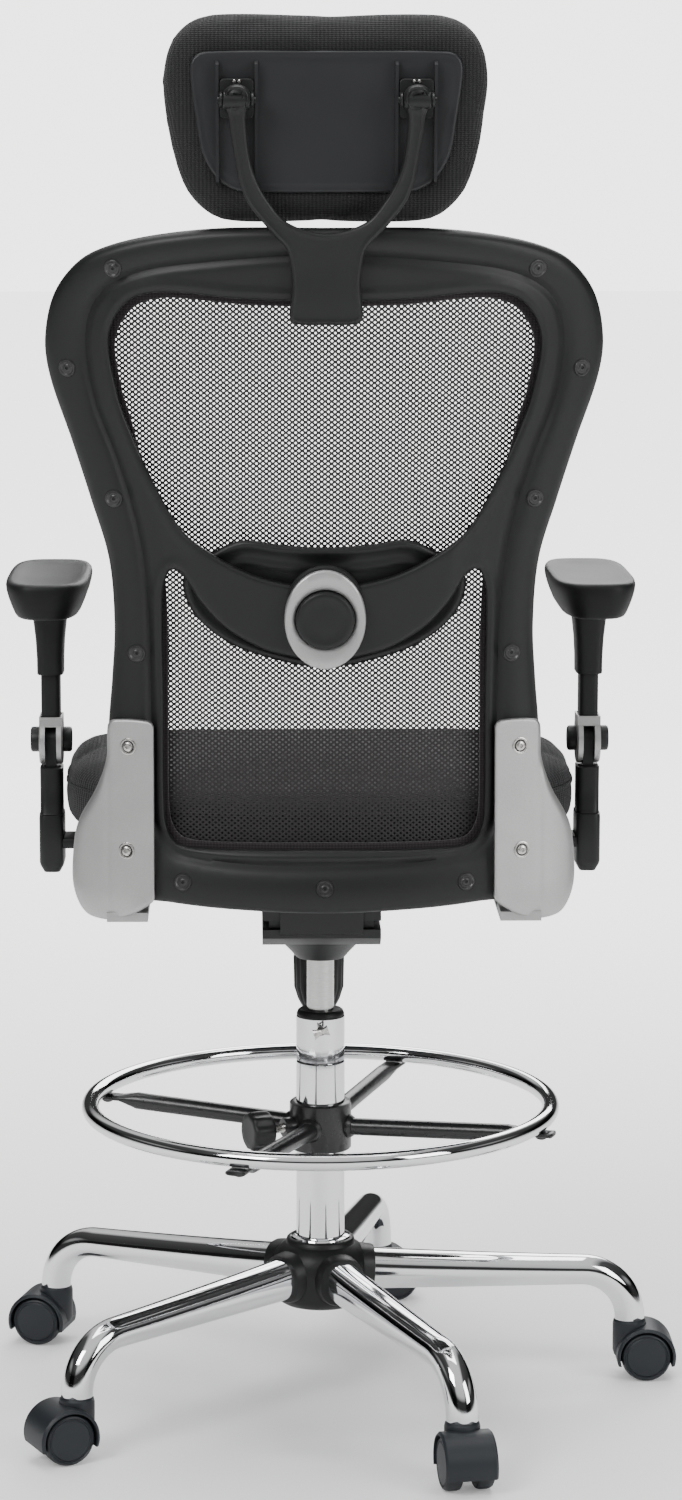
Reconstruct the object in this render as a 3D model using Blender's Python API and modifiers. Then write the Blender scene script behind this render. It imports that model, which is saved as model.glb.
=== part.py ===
"""Drafting chair: high mesh back, headrest, flip-up arms, foot ring and a chrome five-leg base.

Metres, +Z up, the sitter faces +Y. The floor is z = 0. Everything is laid out about the column's
axis, and one root empty shifts the whole chair so that its footprint is centred on the origin.
"""

import math

import bmesh
import bpy
from mathutils import Matrix, Vector

# ------------------------------------------------------------------ driving dimensions, metres
GAP = 0.0003                  # clearance between touching pieces
TAU = 2.0 * math.pi

COLUMN_X = -0.0230            # the column's axis, from the middle of the footprint
COLUMN_Y = -0.0060

# base and casters
LEG_COUNT = 5
LEG_TURN = math.radians(-66.25)   # direction of the first leg
LEG_CIRCLE = 0.329            # radius of the circle of caster stems
LEG_END_Z = 0.064             # underside of a leg's turned-down end
LEG_BEND = 0.054              # radius of the bend down to the caster
LEG_RADIUS = 0.016            # tube radius at the caster
LEG_ROOT_RADIUS = 0.0215      # tube radius at the hub
LEG_ROOT_Z = 0.129            # height of the leg's centre line at the hub
HUB_RADIUS = 0.0505
HUB_BOTTOM = 0.095
HUB_TOP = 0.164
WHEEL_RADIUS = 0.0265
WHEEL_WIDTH = 0.0180
WHEEL_SPACE = 0.0150          # between the two wheels of a caster
CASTER_TRAIL = 0.0165         # from the stem's axis back to the axle
CASTER_TURNS = (-80.0, 0.0, 20.0, 165.0, 205.0)   # degrees, where each caster trails
HOOD_WALL = 0.0032
HOOD_COLLAR_RADIUS = 0.0175
STEM_RADIUS = 0.0055
STEM_LENGTH = 0.034
AXLE_RADIUS = 0.0040

# column and gas lift
COLUMN_RADIUS = 0.025
COLUMN_WALL = 0.0020
COLUMN_BOTTOM = 0.097
COLUMN_FLOOR = 0.0040
COLUMN_TOP = 0.352
COLLAR_HEIGHT = 0.0477
BUSH_DEPTH = 0.130
FLANGE_HEIGHT = 0.0060
GAS_RADIUS = 0.0140
GAS_WALL = 0.0024
GAS_BOTTOM = 0.106
GAS_EXPOSED = 0.055           # bare cylinder between the bush and the mechanism
ROD_RADIUS = 0.0050
ROD_LENGTH = 0.229

# foot ring
RING_RADIUS = 0.2386
RING_TUBE = 0.0087
RING_Z = 0.3055
RING_HUB_WALL = 0.0070
RING_HUB_TOP = 0.0035         # from the ring's centre plane
RING_HUB_HEIGHT = 0.0500
SPOKE_RADIUS = 0.0090
SPOKE_TURN = math.radians(-20.5)
SPOKE_COUNT = 4
CLAMP_TURN = math.radians(205.0)
CLAMP_Z = -0.0215
CLAMP_KNOB_RADIUS = 0.0210
CLAMP_KNOB_LENGTH = 0.0250

# mechanism, heights measured from the underside of the seat pan
PAN_Z = 0.1225                # pan underside above the mechanism's lowest point
HOUSING_HALF = 0.0600
PLATE_THICK = 0.0060
CHEEK_THICK = 0.0035
TILT_Y = 0.0600
TILT_Z = -0.0300
TILT_PIN_RADIUS = 0.0060
TENSION_Y = 0.0950
TENSION_RADIUS = 0.0270
LEVER_RADIUS = 0.0045
LEVER_Z = -0.0615
LEVER_START = 0.0012          # between the housing's side and the lever's root

# seat
SEAT_HALF = 0.2595
SEAT_FRONT = 0.2740
SEAT_REAR = -0.1960
PAN_THICK = 0.0140
CUSHION_THICK = 0.0670

# back, heights measured from the underside of the seat pan
BACK_HALF = 0.2660
BACK_BOTTOM = -0.0320
BACK_HEIGHT = 0.6614
BACK_Y = -0.2350              # rearmost plane of the frame where it stands upright
BACK_BEND_Z = 0.1515          # height at which the back starts to lean
BACK_LEAN = 0.25              # slope of the leaning upper back
BACK_TUCK = 0.10              # slope of the lower back
BACK_BEND = 0.20              # how gently one slope turns into the other
BACK_WRAP = 0.90              # forward wrap of the sides, per metre squared
FRAME_THICK = 0.0180
CARRIER_THICK = 0.0060
MESH_THICK = 0.0018
CARRIER_LIP = 0.0060          # carrier seen inside the frame's openings
CARRIER_INSET = 0.0060        # carrier's edge inside the frame's edge

# lumbar support
LUMBAR_Z = 0.2595
LUMBAR_KNOB_RADIUS = 0.0280
SPINDLE_RADIUS = 0.0065
LUMBAR_THICK = 0.0080
BAR_REAR = -0.0080            # crossbar's rear and front faces, from the back surface
BAR_FRONT = 0.0040

# brackets
BRACKET_THICK = 0.0095
BRACKET_INNER = 0.1650
BOLT_RADIUS = 0.0065
BOLT_SHANK = 0.0030
BOLT_STRIP_THICK = 0.0040
BOLT_STRIP_HALF = 0.0070

# headrest
HEAD_RISE = 0.1161            # tilt axis above the top of the back
HEAD_HALF = 0.1495
HEAD_ARM_X = 0.0826
YOKE_THICK = 0.0090
HEAD_LEAN = math.radians(5.0)
HEAD_PANEL_Y = 0.0262
HEAD_PANEL_THICK = 0.0040
HEAD_CUSHION_THICK = 0.0700
HEAD_CUSHION_BOTTOM = -0.1150
HEAD_CUSHION_TOP = 0.0720
SLIDER_Y = 0.0200
SLIDER_THICK = 0.0055
SLIDER_HALF = 0.0160
RAIL_WIDTH = 0.0030

# arms
ARM_X = 0.2765
ARM_Y = 0.0350
ARM_PIVOT_Z = 0.0995          # flip axis above the seat pan
ARM_POST_WIDTH = 0.0240
ARM_POST_DEPTH = 0.0400
ARM_TUBE_WIDTH = 0.0200
ARM_TUBE_DEPTH = 0.0340
KNUCKLE_RADIUS = 0.0255
TONGUE_THICK = 0.0110
TONGUE_RADIUS = 0.0140
ARM_CAP_RADIUS = 0.0130
ARM_CAP_THICK = 0.0090
ARM_PIN_RADIUS = 0.0045
SLEEVE_BOTTOM = 0.0690        # above the flip axis
SLEEVE_TOP = 0.1370
SLEEVE_WIDTH = 0.0270
SLEEVE_DEPTH = 0.0460
PAD_LENGTH = 0.2600
PAD_WIDTH = 0.0850
PAD_THICK = 0.0370

# ------------------------------------------------------------------ levels worked out from them
RING_HUB_RADIUS = COLUMN_RADIUS + RING_HUB_WALL
BACK_TOP = BACK_BOTTOM + BACK_HEIGHT
HEAD_Z = BACK_TOP + HEAD_RISE
COLLAR_TOP = COLUMN_TOP + GAP + COLLAR_HEIGHT
BUSH_TOP = COLLAR_TOP + GAP + FLANGE_HEIGHT
HOUSING_BOTTOM = BUSH_TOP + GAS_EXPOSED
SEAT_LEVEL = HOUSING_BOTTOM + PAN_Z
MESH_START = FRAME_THICK + CARRIER_THICK + 2.0 * GAP

COLORS = {
    "chrome": ((0.75, 0.76, 0.78), 0.08, 1.0),
    "black_plastic": ((0.022, 0.022, 0.024), 0.45, 0.0),
    "slate_plastic": ((0.030, 0.034, 0.040), 0.50, 0.0),
    "satin_silver": ((0.56, 0.56, 0.57), 0.38, 0.9),
    "bright_steel": ((0.60, 0.60, 0.60), 0.25, 1.0),
    "black_mesh": ((0.030, 0.028, 0.030), 0.80, 0.0),
    "black_fabric": ((0.018, 0.018, 0.020), 0.90, 0.0),
    "arm_pad_rubber": ((0.026, 0.027, 0.030), 0.60, 0.0),
}


# ------------------------------------------------------------------ scene and shape helpers
def clear_scene():
    for old in list(bpy.data.objects):
        bpy.data.objects.remove(old, do_unlink=True)


def new_collection(name):
    group = bpy.data.collections.new(name)
    bpy.context.scene.collection.children.link(group)
    return group


def material(name):
    found = bpy.data.materials.get(name)
    if found:
        return found
    color, roughness, metallic = COLORS[name]
    made = bpy.data.materials.new(name)
    made.use_nodes = True
    shader = made.node_tree.nodes["Principled BSDF"]
    shader.inputs["Base Color"].default_value = (*color, 1.0)
    shader.inputs["Roughness"].default_value = roughness
    shader.inputs["Metallic"].default_value = metallic
    made.diffuse_color = (*color, 1.0)
    return made


def empty(name, parent, location=(0.0, 0.0, 0.0), rotation=(0.0, 0.0, 0.0)):
    spot = bpy.data.objects.new(name, None)
    spot.empty_display_size = 0.03
    spot.parent = parent
    spot.location = location
    spot.rotation_euler = rotation
    parts.objects.link(spot)
    return spot


def add_object(name, data, parent, location=(0.0, 0.0, 0.0), rotation=(0.0, 0.0, 0.0)):
    """Put a mesh in the cutters collection; finish() moves it to the parts."""
    piece = bpy.data.objects.new(name, data)
    piece.parent = parent
    piece.location = location
    piece.rotation_euler = rotation
    piece.hide_render = True
    piece.display_type = "WIRE"
    cutters.objects.link(piece)
    return piece


def finish(piece, name, color, smooth=True):
    """Make a built shape one of the chair's pieces."""
    cutters.objects.unlink(piece)
    parts.objects.link(piece)
    piece.name = name
    piece.hide_render = False
    piece.display_type = "TEXTURED"
    piece.data.materials.clear()
    piece.data.materials.append(material(color))
    if smooth:
        piece.data.shade_smooth()
        piece.data.set_sharp_from_angle(angle=math.radians(35.0))
    return piece


def mesh_from(bm, name):
    data = bpy.data.meshes.new(name)
    bm.to_mesh(data)
    bm.free()
    return data


def axis_matrix(axis):
    if axis == "X":
        return Matrix.Rotation(math.pi / 2.0, 4, "Y")
    if axis == "Y":
        return Matrix.Rotation(-math.pi / 2.0, 4, "X")
    return Matrix.Identity(4)


def box(low, high, parent, location=(0.0, 0.0, 0.0), rotation=(0.0, 0.0, 0.0), bevel=0.0):
    """A box between two corners, with its vertical and other edges rounded by bevel."""
    low = Vector(low)
    high = Vector(high)
    bm = bmesh.new()
    bmesh.ops.create_cube(bm, size=1.0)
    bmesh.ops.scale(bm, vec=high - low, verts=bm.verts)
    bmesh.ops.translate(bm, vec=(high + low) / 2.0, verts=bm.verts)
    piece = add_object("box", mesh_from(bm, "box"), parent, location, rotation)
    if bevel:
        rounding = piece.modifiers.new("rounded edges", "BEVEL")
        rounding.width = bevel
        rounding.segments = 2
    return piece


def cylinder(radius, start, end, parent, axis="Z", location=(0.0, 0.0, 0.0),
             rotation=(0.0, 0.0, 0.0), sides=20, end_radius=None):
    """A round bar or cone along an axis, from start to end."""
    bm = bmesh.new()
    tip = radius if end_radius is None else end_radius
    bmesh.ops.create_cone(bm, cap_ends=True, segments=sides, radius1=radius, radius2=tip,
                          depth=end - start)
    bmesh.ops.translate(bm, vec=(0.0, 0.0, (start + end) / 2.0), verts=bm.verts)
    bmesh.ops.transform(bm, matrix=axis_matrix(axis), verts=bm.verts)
    return add_object("cylinder", mesh_from(bm, "cylinder"), parent, location, rotation)


def turned(profile, parent, location=(0.0, 0.0, 0.0), rotation=(0.0, 0.0, 0.0), sides=24,
           closed=False):
    """A turned shape: (radius, height) points down its outer side, spun about Z."""
    data = bpy.data.meshes.new("profile")
    edges = [(i, i + 1) for i in range(len(profile) - 1)]
    if closed:
        edges.append((len(profile) - 1, 0))
    data.from_pydata([(radius, 0.0, height) for radius, height in profile], edges, [])
    piece = add_object("turned", data, parent, location, rotation)
    spin = piece.modifiers.new("spin", "SCREW")
    spin.steps = sides
    spin.render_steps = sides
    spin.use_merge_vertices = True
    spin.merge_threshold = 0.00001
    return piece


def as_mesh(piece, weld=0.000001):
    """Turn a curve object, or one with modifiers, into a plain welded mesh."""
    bpy.context.view_layer.update()
    graph = bpy.context.evaluated_depsgraph_get()
    data = bpy.data.meshes.new_from_object(piece.evaluated_get(graph))
    bm = bmesh.new()
    bm.from_mesh(data)
    bmesh.ops.remove_doubles(bm, verts=bm.verts, dist=weld)
    bmesh.ops.recalc_face_normals(bm, faces=bm.faces)
    bm.to_mesh(data)
    bm.free()
    made = add_object(piece.name, data, piece.parent, piece.location, piece.rotation_euler)
    bpy.data.objects.remove(piece, do_unlink=True)
    return made


def outline_plate(points, low, high, parent, axis="Y", smooth=True, fineness=3,
                  location=(0.0, 0.0, 0.0), rotation=(0.0, 0.0, 0.0)):
    """A flat outline, given as (across, up) points, filled and extruded from low to high."""
    curve = bpy.data.curves.new("outline", "CURVE")
    curve.dimensions = "2D"
    curve.fill_mode = "BOTH"
    curve.extrude = (high - low) / 2.0
    curve.resolution_u = fineness
    spline = curve.splines.new("BEZIER" if smooth else "POLY")
    if smooth:
        spline.bezier_points.add(len(points) - 1)
        for knot, (across, up) in zip(spline.bezier_points, points):
            knot.co = (across, up, 0.0)
            knot.handle_left_type = "AUTO"
            knot.handle_right_type = "AUTO"
    else:
        spline.points.add(len(points) - 1)
        for knot, (across, up) in zip(spline.points, points):
            knot.co = (across, up, 0.0, 1.0)
    spline.use_cyclic_u = True
    piece = as_mesh(add_object("outline", curve, parent, location, rotation))
    # the curve lies in XY and is extruded along Z: stand it up along the wanted axis
    piece.data.transform(Matrix.Translation((0.0, 0.0, (high + low) / 2.0)))
    if axis == "Y":
        piece.data.transform(Matrix.Rotation(math.pi / 2.0, 4, "X"))
        piece.data.transform(Matrix.Scale(-1.0, 4, (0.0, 1.0, 0.0)))
        piece.data.flip_normals()
    if axis == "X":
        piece.data.transform(Matrix(((0, 0, 1, 0), (1, 0, 0, 0), (0, 1, 0, 0), (0, 0, 0, 1))))
    return piece


def mirrored(half):
    """A closed symmetric outline from its right half, listed from one middle point to the other."""
    left = [(-across, up) for across, up in reversed(half) if across > 0.0001]
    return list(half) + left


def bent_tube(points, radius, parent, location=(0.0, 0.0, 0.0), rotation=(0.0, 0.0, 0.0),
              radii=None, resolution=3):
    """A round tube through points, as a filled curve made into a welded mesh."""
    curve = bpy.data.curves.new("tube", "CURVE")
    curve.dimensions = "3D"
    curve.bevel_depth = radius
    curve.bevel_resolution = resolution
    curve.use_fill_caps = True
    spline = curve.splines.new("POLY")
    spline.points.add(len(points) - 1)
    for index, point in enumerate(points):
        spline.points[index].co = (*point, 1.0)
        spline.points[index].radius = radii[index] if radii else 1.0
    return as_mesh(add_object("tube", curve, parent, location, rotation))


def boolean(piece, other, operation):
    step = piece.modifiers.new(operation.lower(), "BOOLEAN")
    step.operation = operation
    step.object = other
    return piece


def join(piece, *others):
    for other in others:
        boolean(piece, other, "UNION")
    return piece


def cut(piece, *others):
    for other in others:
        boolean(piece, other, "DIFFERENCE")
    return piece


# ------------------------------------------------------------------ base
def leg_path():
    """Centre line of a leg in its own plane: straight out from the hub, then down in an arc."""
    bend_x = LEG_CIRCLE - LEG_BEND
    bend_z = LEG_END_Z + 0.0005
    path = [(0.030, 0.0, LEG_ROOT_Z), (0.150, 0.0, (LEG_ROOT_Z + bend_z + LEG_BEND) / 2.0)]
    for step in range(7):
        angle = math.pi / 2.0 * (1.0 - step / 6.0)
        path.append((bend_x + LEG_BEND * math.cos(angle), 0.0, bend_z + LEG_BEND * math.sin(angle)))
    path.append((LEG_CIRCLE, 0.0, LEG_END_Z))
    return path


def base_leg(number):
    """One chrome leg, bored from below for the caster's stem and trimmed around the hub."""
    turn = LEG_TURN + TAU * number / LEG_COUNT
    path = leg_path()
    radii = [LEG_ROOT_RADIUS / LEG_RADIUS, 1.0 + 0.6 * (LEG_ROOT_RADIUS / LEG_RADIUS - 1.0)]
    radii += [1.0] * (len(path) - 2)
    leg = bent_tube(path, LEG_RADIUS, chair, rotation=(0.0, 0.0, turn), radii=radii)
    hub_space = cylinder(HUB_RADIUS + GAP, 0.05, 0.25, chair, sides=48)
    bore = cylinder(STEM_RADIUS + GAP, 0.0, LEG_END_Z + STEM_LENGTH, chair, sides=16,
                    location=(LEG_CIRCLE * math.cos(turn), LEG_CIRCLE * math.sin(turn), 0.0))
    return finish(cut(leg, hub_space, bore), f"base_leg_{number + 1}", "chrome")


def base_hub():
    """Hub around the column: bulged side, stepped collar at the top."""
    bore = COLUMN_RADIUS + GAP
    profile = [(bore, HUB_TOP), (bore + 0.009, HUB_TOP), (bore + 0.011, HUB_TOP - 0.007),
               (HUB_RADIUS - 0.004, HUB_TOP - 0.014), (HUB_RADIUS, HUB_TOP - 0.026),
               (HUB_RADIUS, HUB_BOTTOM + 0.012), (HUB_RADIUS - 0.008, HUB_BOTTOM),
               (bore, HUB_BOTTOM)]
    return finish(turned(profile, chair, closed=True), "base_hub", "black_plastic")


def caster_hood_shape():
    """Hood of a twin-wheel caster, trailing along +X from its stem."""
    axle = (CASTER_TRAIL, 0.0, WHEEL_RADIUS)
    outer = WHEEL_RADIUS + 0.0014 + HOOD_WALL
    half = WHEEL_SPACE / 2.0 + WHEEL_WIDTH
    web = WHEEL_SPACE / 2.0 - 0.0012
    top = LEG_END_Z - 0.0012
    drum = cylinder(outer, -half, half, None, "Y", axle)
    collar = cylinder(HOOD_COLLAR_RADIUS, 0.022, top, None)
    stem = cylinder(STEM_RADIUS, top - 0.004, LEG_END_Z + STEM_LENGTH - 0.002, None, sides=16)
    hood = join(drum, collar, stem)
    for side in (-1.0, 1.0):
        near = web if side > 0.0 else -0.04
        far = 0.04 if side > 0.0 else -web
        cut(hood, cylinder(WHEEL_RADIUS + 0.0014, near, far, None, "Y", axle))
    below = box((-0.05, -0.05, -0.02), (0.08, 0.05, 0.0175), None)
    bore = cylinder(AXLE_RADIUS + GAP, -0.04, 0.04, None, "Y", axle, sides=12)
    cut(hood, below, bore)
    hood = as_mesh(hood)
    hood.data.transform(Matrix.Translation(axle))
    return hood


def caster_wheels_shape():
    """Two wheels on one axle, turned about Y, centred on the axle."""
    inner = WHEEL_SPACE / 2.0
    outer = inner + WHEEL_WIDTH
    side = [(AXLE_RADIUS, inner), (WHEEL_RADIUS - 0.002, inner), (WHEEL_RADIUS, inner + 0.004),
            (WHEEL_RADIUS, outer - 0.007), (WHEEL_RADIUS - 0.004, outer - 0.001), (0.0, outer)]
    profile = [(radius, height) for radius, height in reversed(side)]
    profile += [(radius, -height) for radius, height in side]
    wheels = turned(profile, None, sides=16)
    return as_mesh(wheels)


def casters():
    hood_mesh = caster_hood_shape()
    wheel_mesh = caster_wheels_shape()
    for number in range(LEG_COUNT):
        turn = LEG_TURN + TAU * number / LEG_COUNT
        swivel = empty(f"caster_swivel_{number + 1}", chair,
                       (LEG_CIRCLE * math.cos(turn), LEG_CIRCLE * math.sin(turn), 0.0),
                       (0.0, 0.0, math.radians(CASTER_TURNS[number])))
        hood = add_object("hood", hood_mesh.data, swivel)
        finish(hood, f"caster_hood_{number + 1}", "slate_plastic")
        wheels = add_object("wheels", wheel_mesh.data, swivel, (CASTER_TRAIL, 0.0, WHEEL_RADIUS),
                            (math.pi / 2.0, 0.0, 0.0))
        finish(wheels, f"caster_wheels_{number + 1}", "slate_plastic")
    bpy.data.objects.remove(hood_mesh, do_unlink=True)
    bpy.data.objects.remove(wheel_mesh, do_unlink=True)


# ------------------------------------------------------------------ column and gas lift
def column_tube():
    """Outer tube, with a floor that the piston rod's foot stands on."""
    inner = COLUMN_RADIUS - COLUMN_WALL
    profile = [(inner, COLUMN_TOP), (COLUMN_RADIUS, COLUMN_TOP), (COLUMN_RADIUS, COLUMN_BOTTOM),
               (0.0, COLUMN_BOTTOM)]
    profile = [(0.0, COLUMN_BOTTOM + COLUMN_FLOOR), (inner, COLUMN_BOTTOM + COLUMN_FLOOR)] + profile
    return finish(turned(profile, chair), "column_tube", "chrome")


def column_collar():
    """Chrome ring on top of the tube, cross-drilled at the rear for its thumbscrew."""
    inner = COLUMN_RADIUS - COLUMN_WALL
    low = COLUMN_TOP + GAP
    ring = turned([(inner, COLLAR_TOP), (COLUMN_RADIUS, COLLAR_TOP), (COLUMN_RADIUS, low),
                   (inner, low)], chair, closed=True)
    hole = cylinder(0.0025 + GAP, -0.04, -0.01, chair, "Y", (0.0, 0.0, COLLAR_TOP - 0.010), sides=12)
    return finish(cut(ring, hole), "column_collar", "chrome")


def collar_screw():
    """Small wing screw through the collar's wall."""
    height = COLLAR_TOP - 0.010
    inner = COLUMN_RADIUS - COLUMN_WALL
    shank = cylinder(0.0025, -0.034, -inner - GAP, chair, "Y", (0.0, 0.0, height), sides=12)
    wing = box((-0.0075, -0.043, height - 0.0055), (0.0075, -0.033, height + 0.0055), chair,
               bevel=0.002)
    return finish(join(wing, shank), "collar_screw", "bright_steel")


def column_bush():
    """Plastic guide bush: a long sleeve inside the tube and a flange on the collar."""
    outer = COLUMN_RADIUS - COLUMN_WALL - GAP
    bore = GAS_RADIUS + GAP
    profile = [(bore, BUSH_TOP), (COLUMN_RADIUS - 0.002, BUSH_TOP),
               (COLUMN_RADIUS - 0.0005, COLLAR_TOP + GAP), (outer, COLLAR_TOP + GAP),
               (outer, BUSH_TOP - BUSH_DEPTH), (bore, BUSH_TOP - BUSH_DEPTH)]
    return finish(turned(profile, chair, closed=True), "column_bush", "black_plastic")


def piston_rod():
    """Gas lift's rod, standing on the column's floor, with its piston at the top."""
    foot = COLUMN_BOTTOM + COLUMN_FLOOR + GAP
    top = foot + ROD_LENGTH
    piston = GAS_RADIUS - GAS_WALL - GAP
    profile = [(0.0, top), (piston, top), (piston, top - 0.012), (ROD_RADIUS, top - 0.012),
               (ROD_RADIUS, foot), (0.0, foot)]
    return finish(turned(profile, chair, sides=20), "piston_rod", "bright_steel")


def gas_cylinder():
    """Gas cylinder: slides up out of the bush, its tapered head is seated in the mechanism."""
    top = SEAT_LEVEL - 0.055
    inner = GAS_RADIUS - GAS_WALL
    hole = ROD_RADIUS + GAP
    profile = [(0.0, top), (GAS_RADIUS - 0.0015, top), (GAS_RADIUS, top - 0.045),
               (GAS_RADIUS, GAS_BOTTOM), (hole, GAS_BOTTOM), (hole, GAS_BOTTOM + 0.006),
               (inner, GAS_BOTTOM + 0.006), (inner, top - 0.012), (0.0, top - 0.012)]
    return finish(turned(profile, chair, sides=28), "gas_cylinder", "chrome")


# ------------------------------------------------------------------ foot ring
def foot_ring():
    """Chrome ring that the feet rest on."""
    bm = bmesh.new()
    turns = 40
    sides = 8
    rings = []
    for step in range(turns):
        angle = TAU * step / turns
        ring = []
        for side in range(sides):
            around = TAU * side / sides
            reach = RING_RADIUS + RING_TUBE * math.cos(around)
            ring.append(bm.verts.new((reach * math.cos(angle), reach * math.sin(angle),
                                      RING_TUBE * math.sin(around))))
        rings.append(ring)
    for step in range(turns):
        here = rings[step]
        after = rings[(step + 1) % turns]
        for side in range(sides):
            nearby = (side + 1) % sides
            bm.faces.new((here[side], after[side], after[nearby], here[nearby]))
    ring = add_object("ring", mesh_from(bm, "ring"), ring_level)
    return finish(ring, "foot_ring", "chrome")


def foot_ring_spider():
    """Clamp sleeve on the column with four spokes; their flattened ends carry the ring."""
    bore = COLUMN_RADIUS + GAP
    low = RING_HUB_TOP - RING_HUB_HEIGHT
    sleeve = turned([(bore, RING_HUB_TOP), (RING_HUB_RADIUS, RING_HUB_TOP),
                     (RING_HUB_RADIUS, low), (bore, low)], ring_level, closed=True)
    spider = sleeve
    plate_top = -RING_TUBE - GAP
    tube_end = RING_RADIUS - RING_TUBE - 0.005
    for number in range(SPOKE_COUNT):
        turn = (0.0, 0.0, SPOKE_TURN + TAU * number / SPOKE_COUNT)
        spoke = bent_tube([(RING_HUB_RADIUS - 0.003, 0.0, -0.0220), (tube_end, 0.0, -0.0135)],
                          SPOKE_RADIUS, ring_level, rotation=turn, resolution=2)
        flat = box((tube_end - 0.014, -0.010, plate_top - 0.0055),
                   (RING_RADIUS + 0.012, 0.010, plate_top), ring_level, rotation=turn)
        join(spider, spoke, flat)
    face_out = (0.0, 0.0, CLAMP_TURN)
    boss = cylinder(0.0105, RING_HUB_RADIUS - 0.003, RING_HUB_RADIUS + 0.011, ring_level, "X",
                    (0.0, 0.0, CLAMP_Z), face_out, sides=20)
    hole = cylinder(0.0050 + GAP, 0.015, 0.060, ring_level, "X", (0.0, 0.0, CLAMP_Z), face_out,
                    sides=12)
    return finish(cut(join(spider, boss), hole), "foot_ring_spider", "black_plastic")


def foot_ring_knob():
    """Clamp screw: its tip stops just short of the column."""
    start = RING_HUB_RADIUS + 0.026
    shank = cylinder(0.0050, COLUMN_RADIUS + GAP, start + 0.003, ring_level, "X",
                     (0.0, 0.0, CLAMP_Z), (0.0, 0.0, CLAMP_TURN), sides=12)
    knob = cylinder(CLAMP_KNOB_RADIUS, start, start + CLAMP_KNOB_LENGTH, ring_level, "X",
                    (0.0, 0.0, CLAMP_Z), (0.0, 0.0, CLAMP_TURN), sides=24)
    return finish(join(knob, shank), "foot_ring_knob", "black_plastic")


# ------------------------------------------------------------------ tilt mechanism
def mechanism_housing():
    """Cast housing on the gas cylinder: socket, cross bore for the tilt pin, tower for the spring."""
    side = [(-0.078, -0.088), (-0.078, -0.045), (0.052, -0.0095), (0.125, -0.0095),
            (0.125, -0.080), (0.108, -0.098), (-0.060, -0.098)]
    housing = outline_plate(side, -HOUSING_HALF, HOUSING_HALF, seat_level, "X", smooth=False)
    bowl = cylinder(0.026, -PAN_Z, -0.096, seat_level, sides=28, end_radius=0.050)
    tower = cylinder(TENSION_RADIUS - 0.004, -0.137, -0.090, seat_level,
                     location=(0.0, TENSION_Y, 0.0))
    join(housing, bowl, tower)
    bore = cylinder(TILT_PIN_RADIUS + GAP, -0.1, 0.1, seat_level, "X", (0.0, TILT_Y, TILT_Z))
    socket = cylinder(GAS_RADIUS + GAP, -0.20, -0.055 + GAP, seat_level, sides=28)
    screw_hole = cylinder(0.005 + GAP, -0.20, -0.118, seat_level, sides=12,
                          location=(0.0, TENSION_Y, 0.0))
    return finish(cut(housing, socket, screw_hole, bore), "mechanism_housing", "black_plastic")


def seat_plate():
    """Steel plate bolted under the seat, hung on the tilt pin by two cheeks."""
    top = box((-0.085, -0.085, -PLATE_THICK), (0.085, 0.135, -GAP), seat_level)
    inner = HOUSING_HALF + GAP
    for side in (-1.0, 1.0):
        near = side * inner
        far = side * (inner + CHEEK_THICK)
        cheek = box((min(near, far), TILT_Y - 0.018, TILT_Z - 0.012),
                    (max(near, far), TILT_Y + 0.018, -PLATE_THICK + 0.002), seat_level)
        join(top, cheek)
    bore = cylinder(TILT_PIN_RADIUS + GAP, -0.1, 0.1, seat_level, "X", (0.0, TILT_Y, TILT_Z))
    return finish(cut(top, bore), "seat_plate", "black_plastic")


def tilt_pin():
    """Cross pin that the seat plate tilts on."""
    reach = HOUSING_HALF + GAP + CHEEK_THICK + 0.001
    pin = cylinder(TILT_PIN_RADIUS, -reach, reach, seat_level, "X", (0.0, TILT_Y, TILT_Z))
    return finish(pin, "tilt_pin", "bright_steel")


def tension_knob():
    """Tilt tension knob hanging below the front of the housing, tapered at its lower end."""
    high = -0.1385
    shank = cylinder(0.005, high - 0.004, -0.120, seat_level, sides=12,
                     location=(0.0, TENSION_Y, 0.0))
    knob = turned([(0.0, high), (TENSION_RADIUS - 0.001, high), (TENSION_RADIUS, high - 0.004),
                   (TENSION_RADIUS - 0.001, high - 0.038), (TENSION_RADIUS - 0.009, high - 0.056),
                   (0.0, high - 0.058)], seat_level, (0.0, TENSION_Y, 0.0), sides=28)
    return finish(join(knob, shank), "tension_knob", "black_plastic")


def lever(name, side):
    """A bent rod from the side of the housing, ending in a flat paddle."""
    root = HOUSING_HALF + LEVER_START
    path = [(root, -0.012, LEVER_Z), (root + 0.035, -0.012, LEVER_Z),
            (root + 0.070, 0.004, LEVER_Z + 0.001), (root + 0.110, 0.038, LEVER_Z + 0.003),
            (root + 0.145, 0.056, LEVER_Z + 0.005)]
    path = [(side * x, y, z) for x, y, z in path]
    rod = bent_tube(path, LEVER_RADIUS, seat_level, resolution=2)
    near = side * (root + 0.132)
    far = side * (root + 0.182)
    paddle = box((min(near, far), 0.046, LEVER_Z + 0.001), (max(near, far), 0.070, LEVER_Z + 0.009),
                 seat_level, bevel=0.0025)
    return finish(join(paddle, rod), name, "black_plastic")


# ------------------------------------------------------------------ seat
def seat_outline(inset):
    """Half plan of the seat, from the rear middle to the front middle."""
    side = SEAT_HALF - inset
    rear = SEAT_REAR + inset
    front = SEAT_FRONT - inset
    return mirrored([(0.0, rear), (0.39 * side, rear + 0.004), (0.66 * side, rear + 0.026),
                     (0.80 * side, rear + 0.070), (0.855 * side, rear + 0.122),
                     (0.975 * side, rear + 0.190), (side, rear + 0.262), (0.985 * side, rear + 0.350),
                     (0.90 * side, front - 0.034), (0.62 * side, front - 0.006), (0.0, front)])


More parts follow.
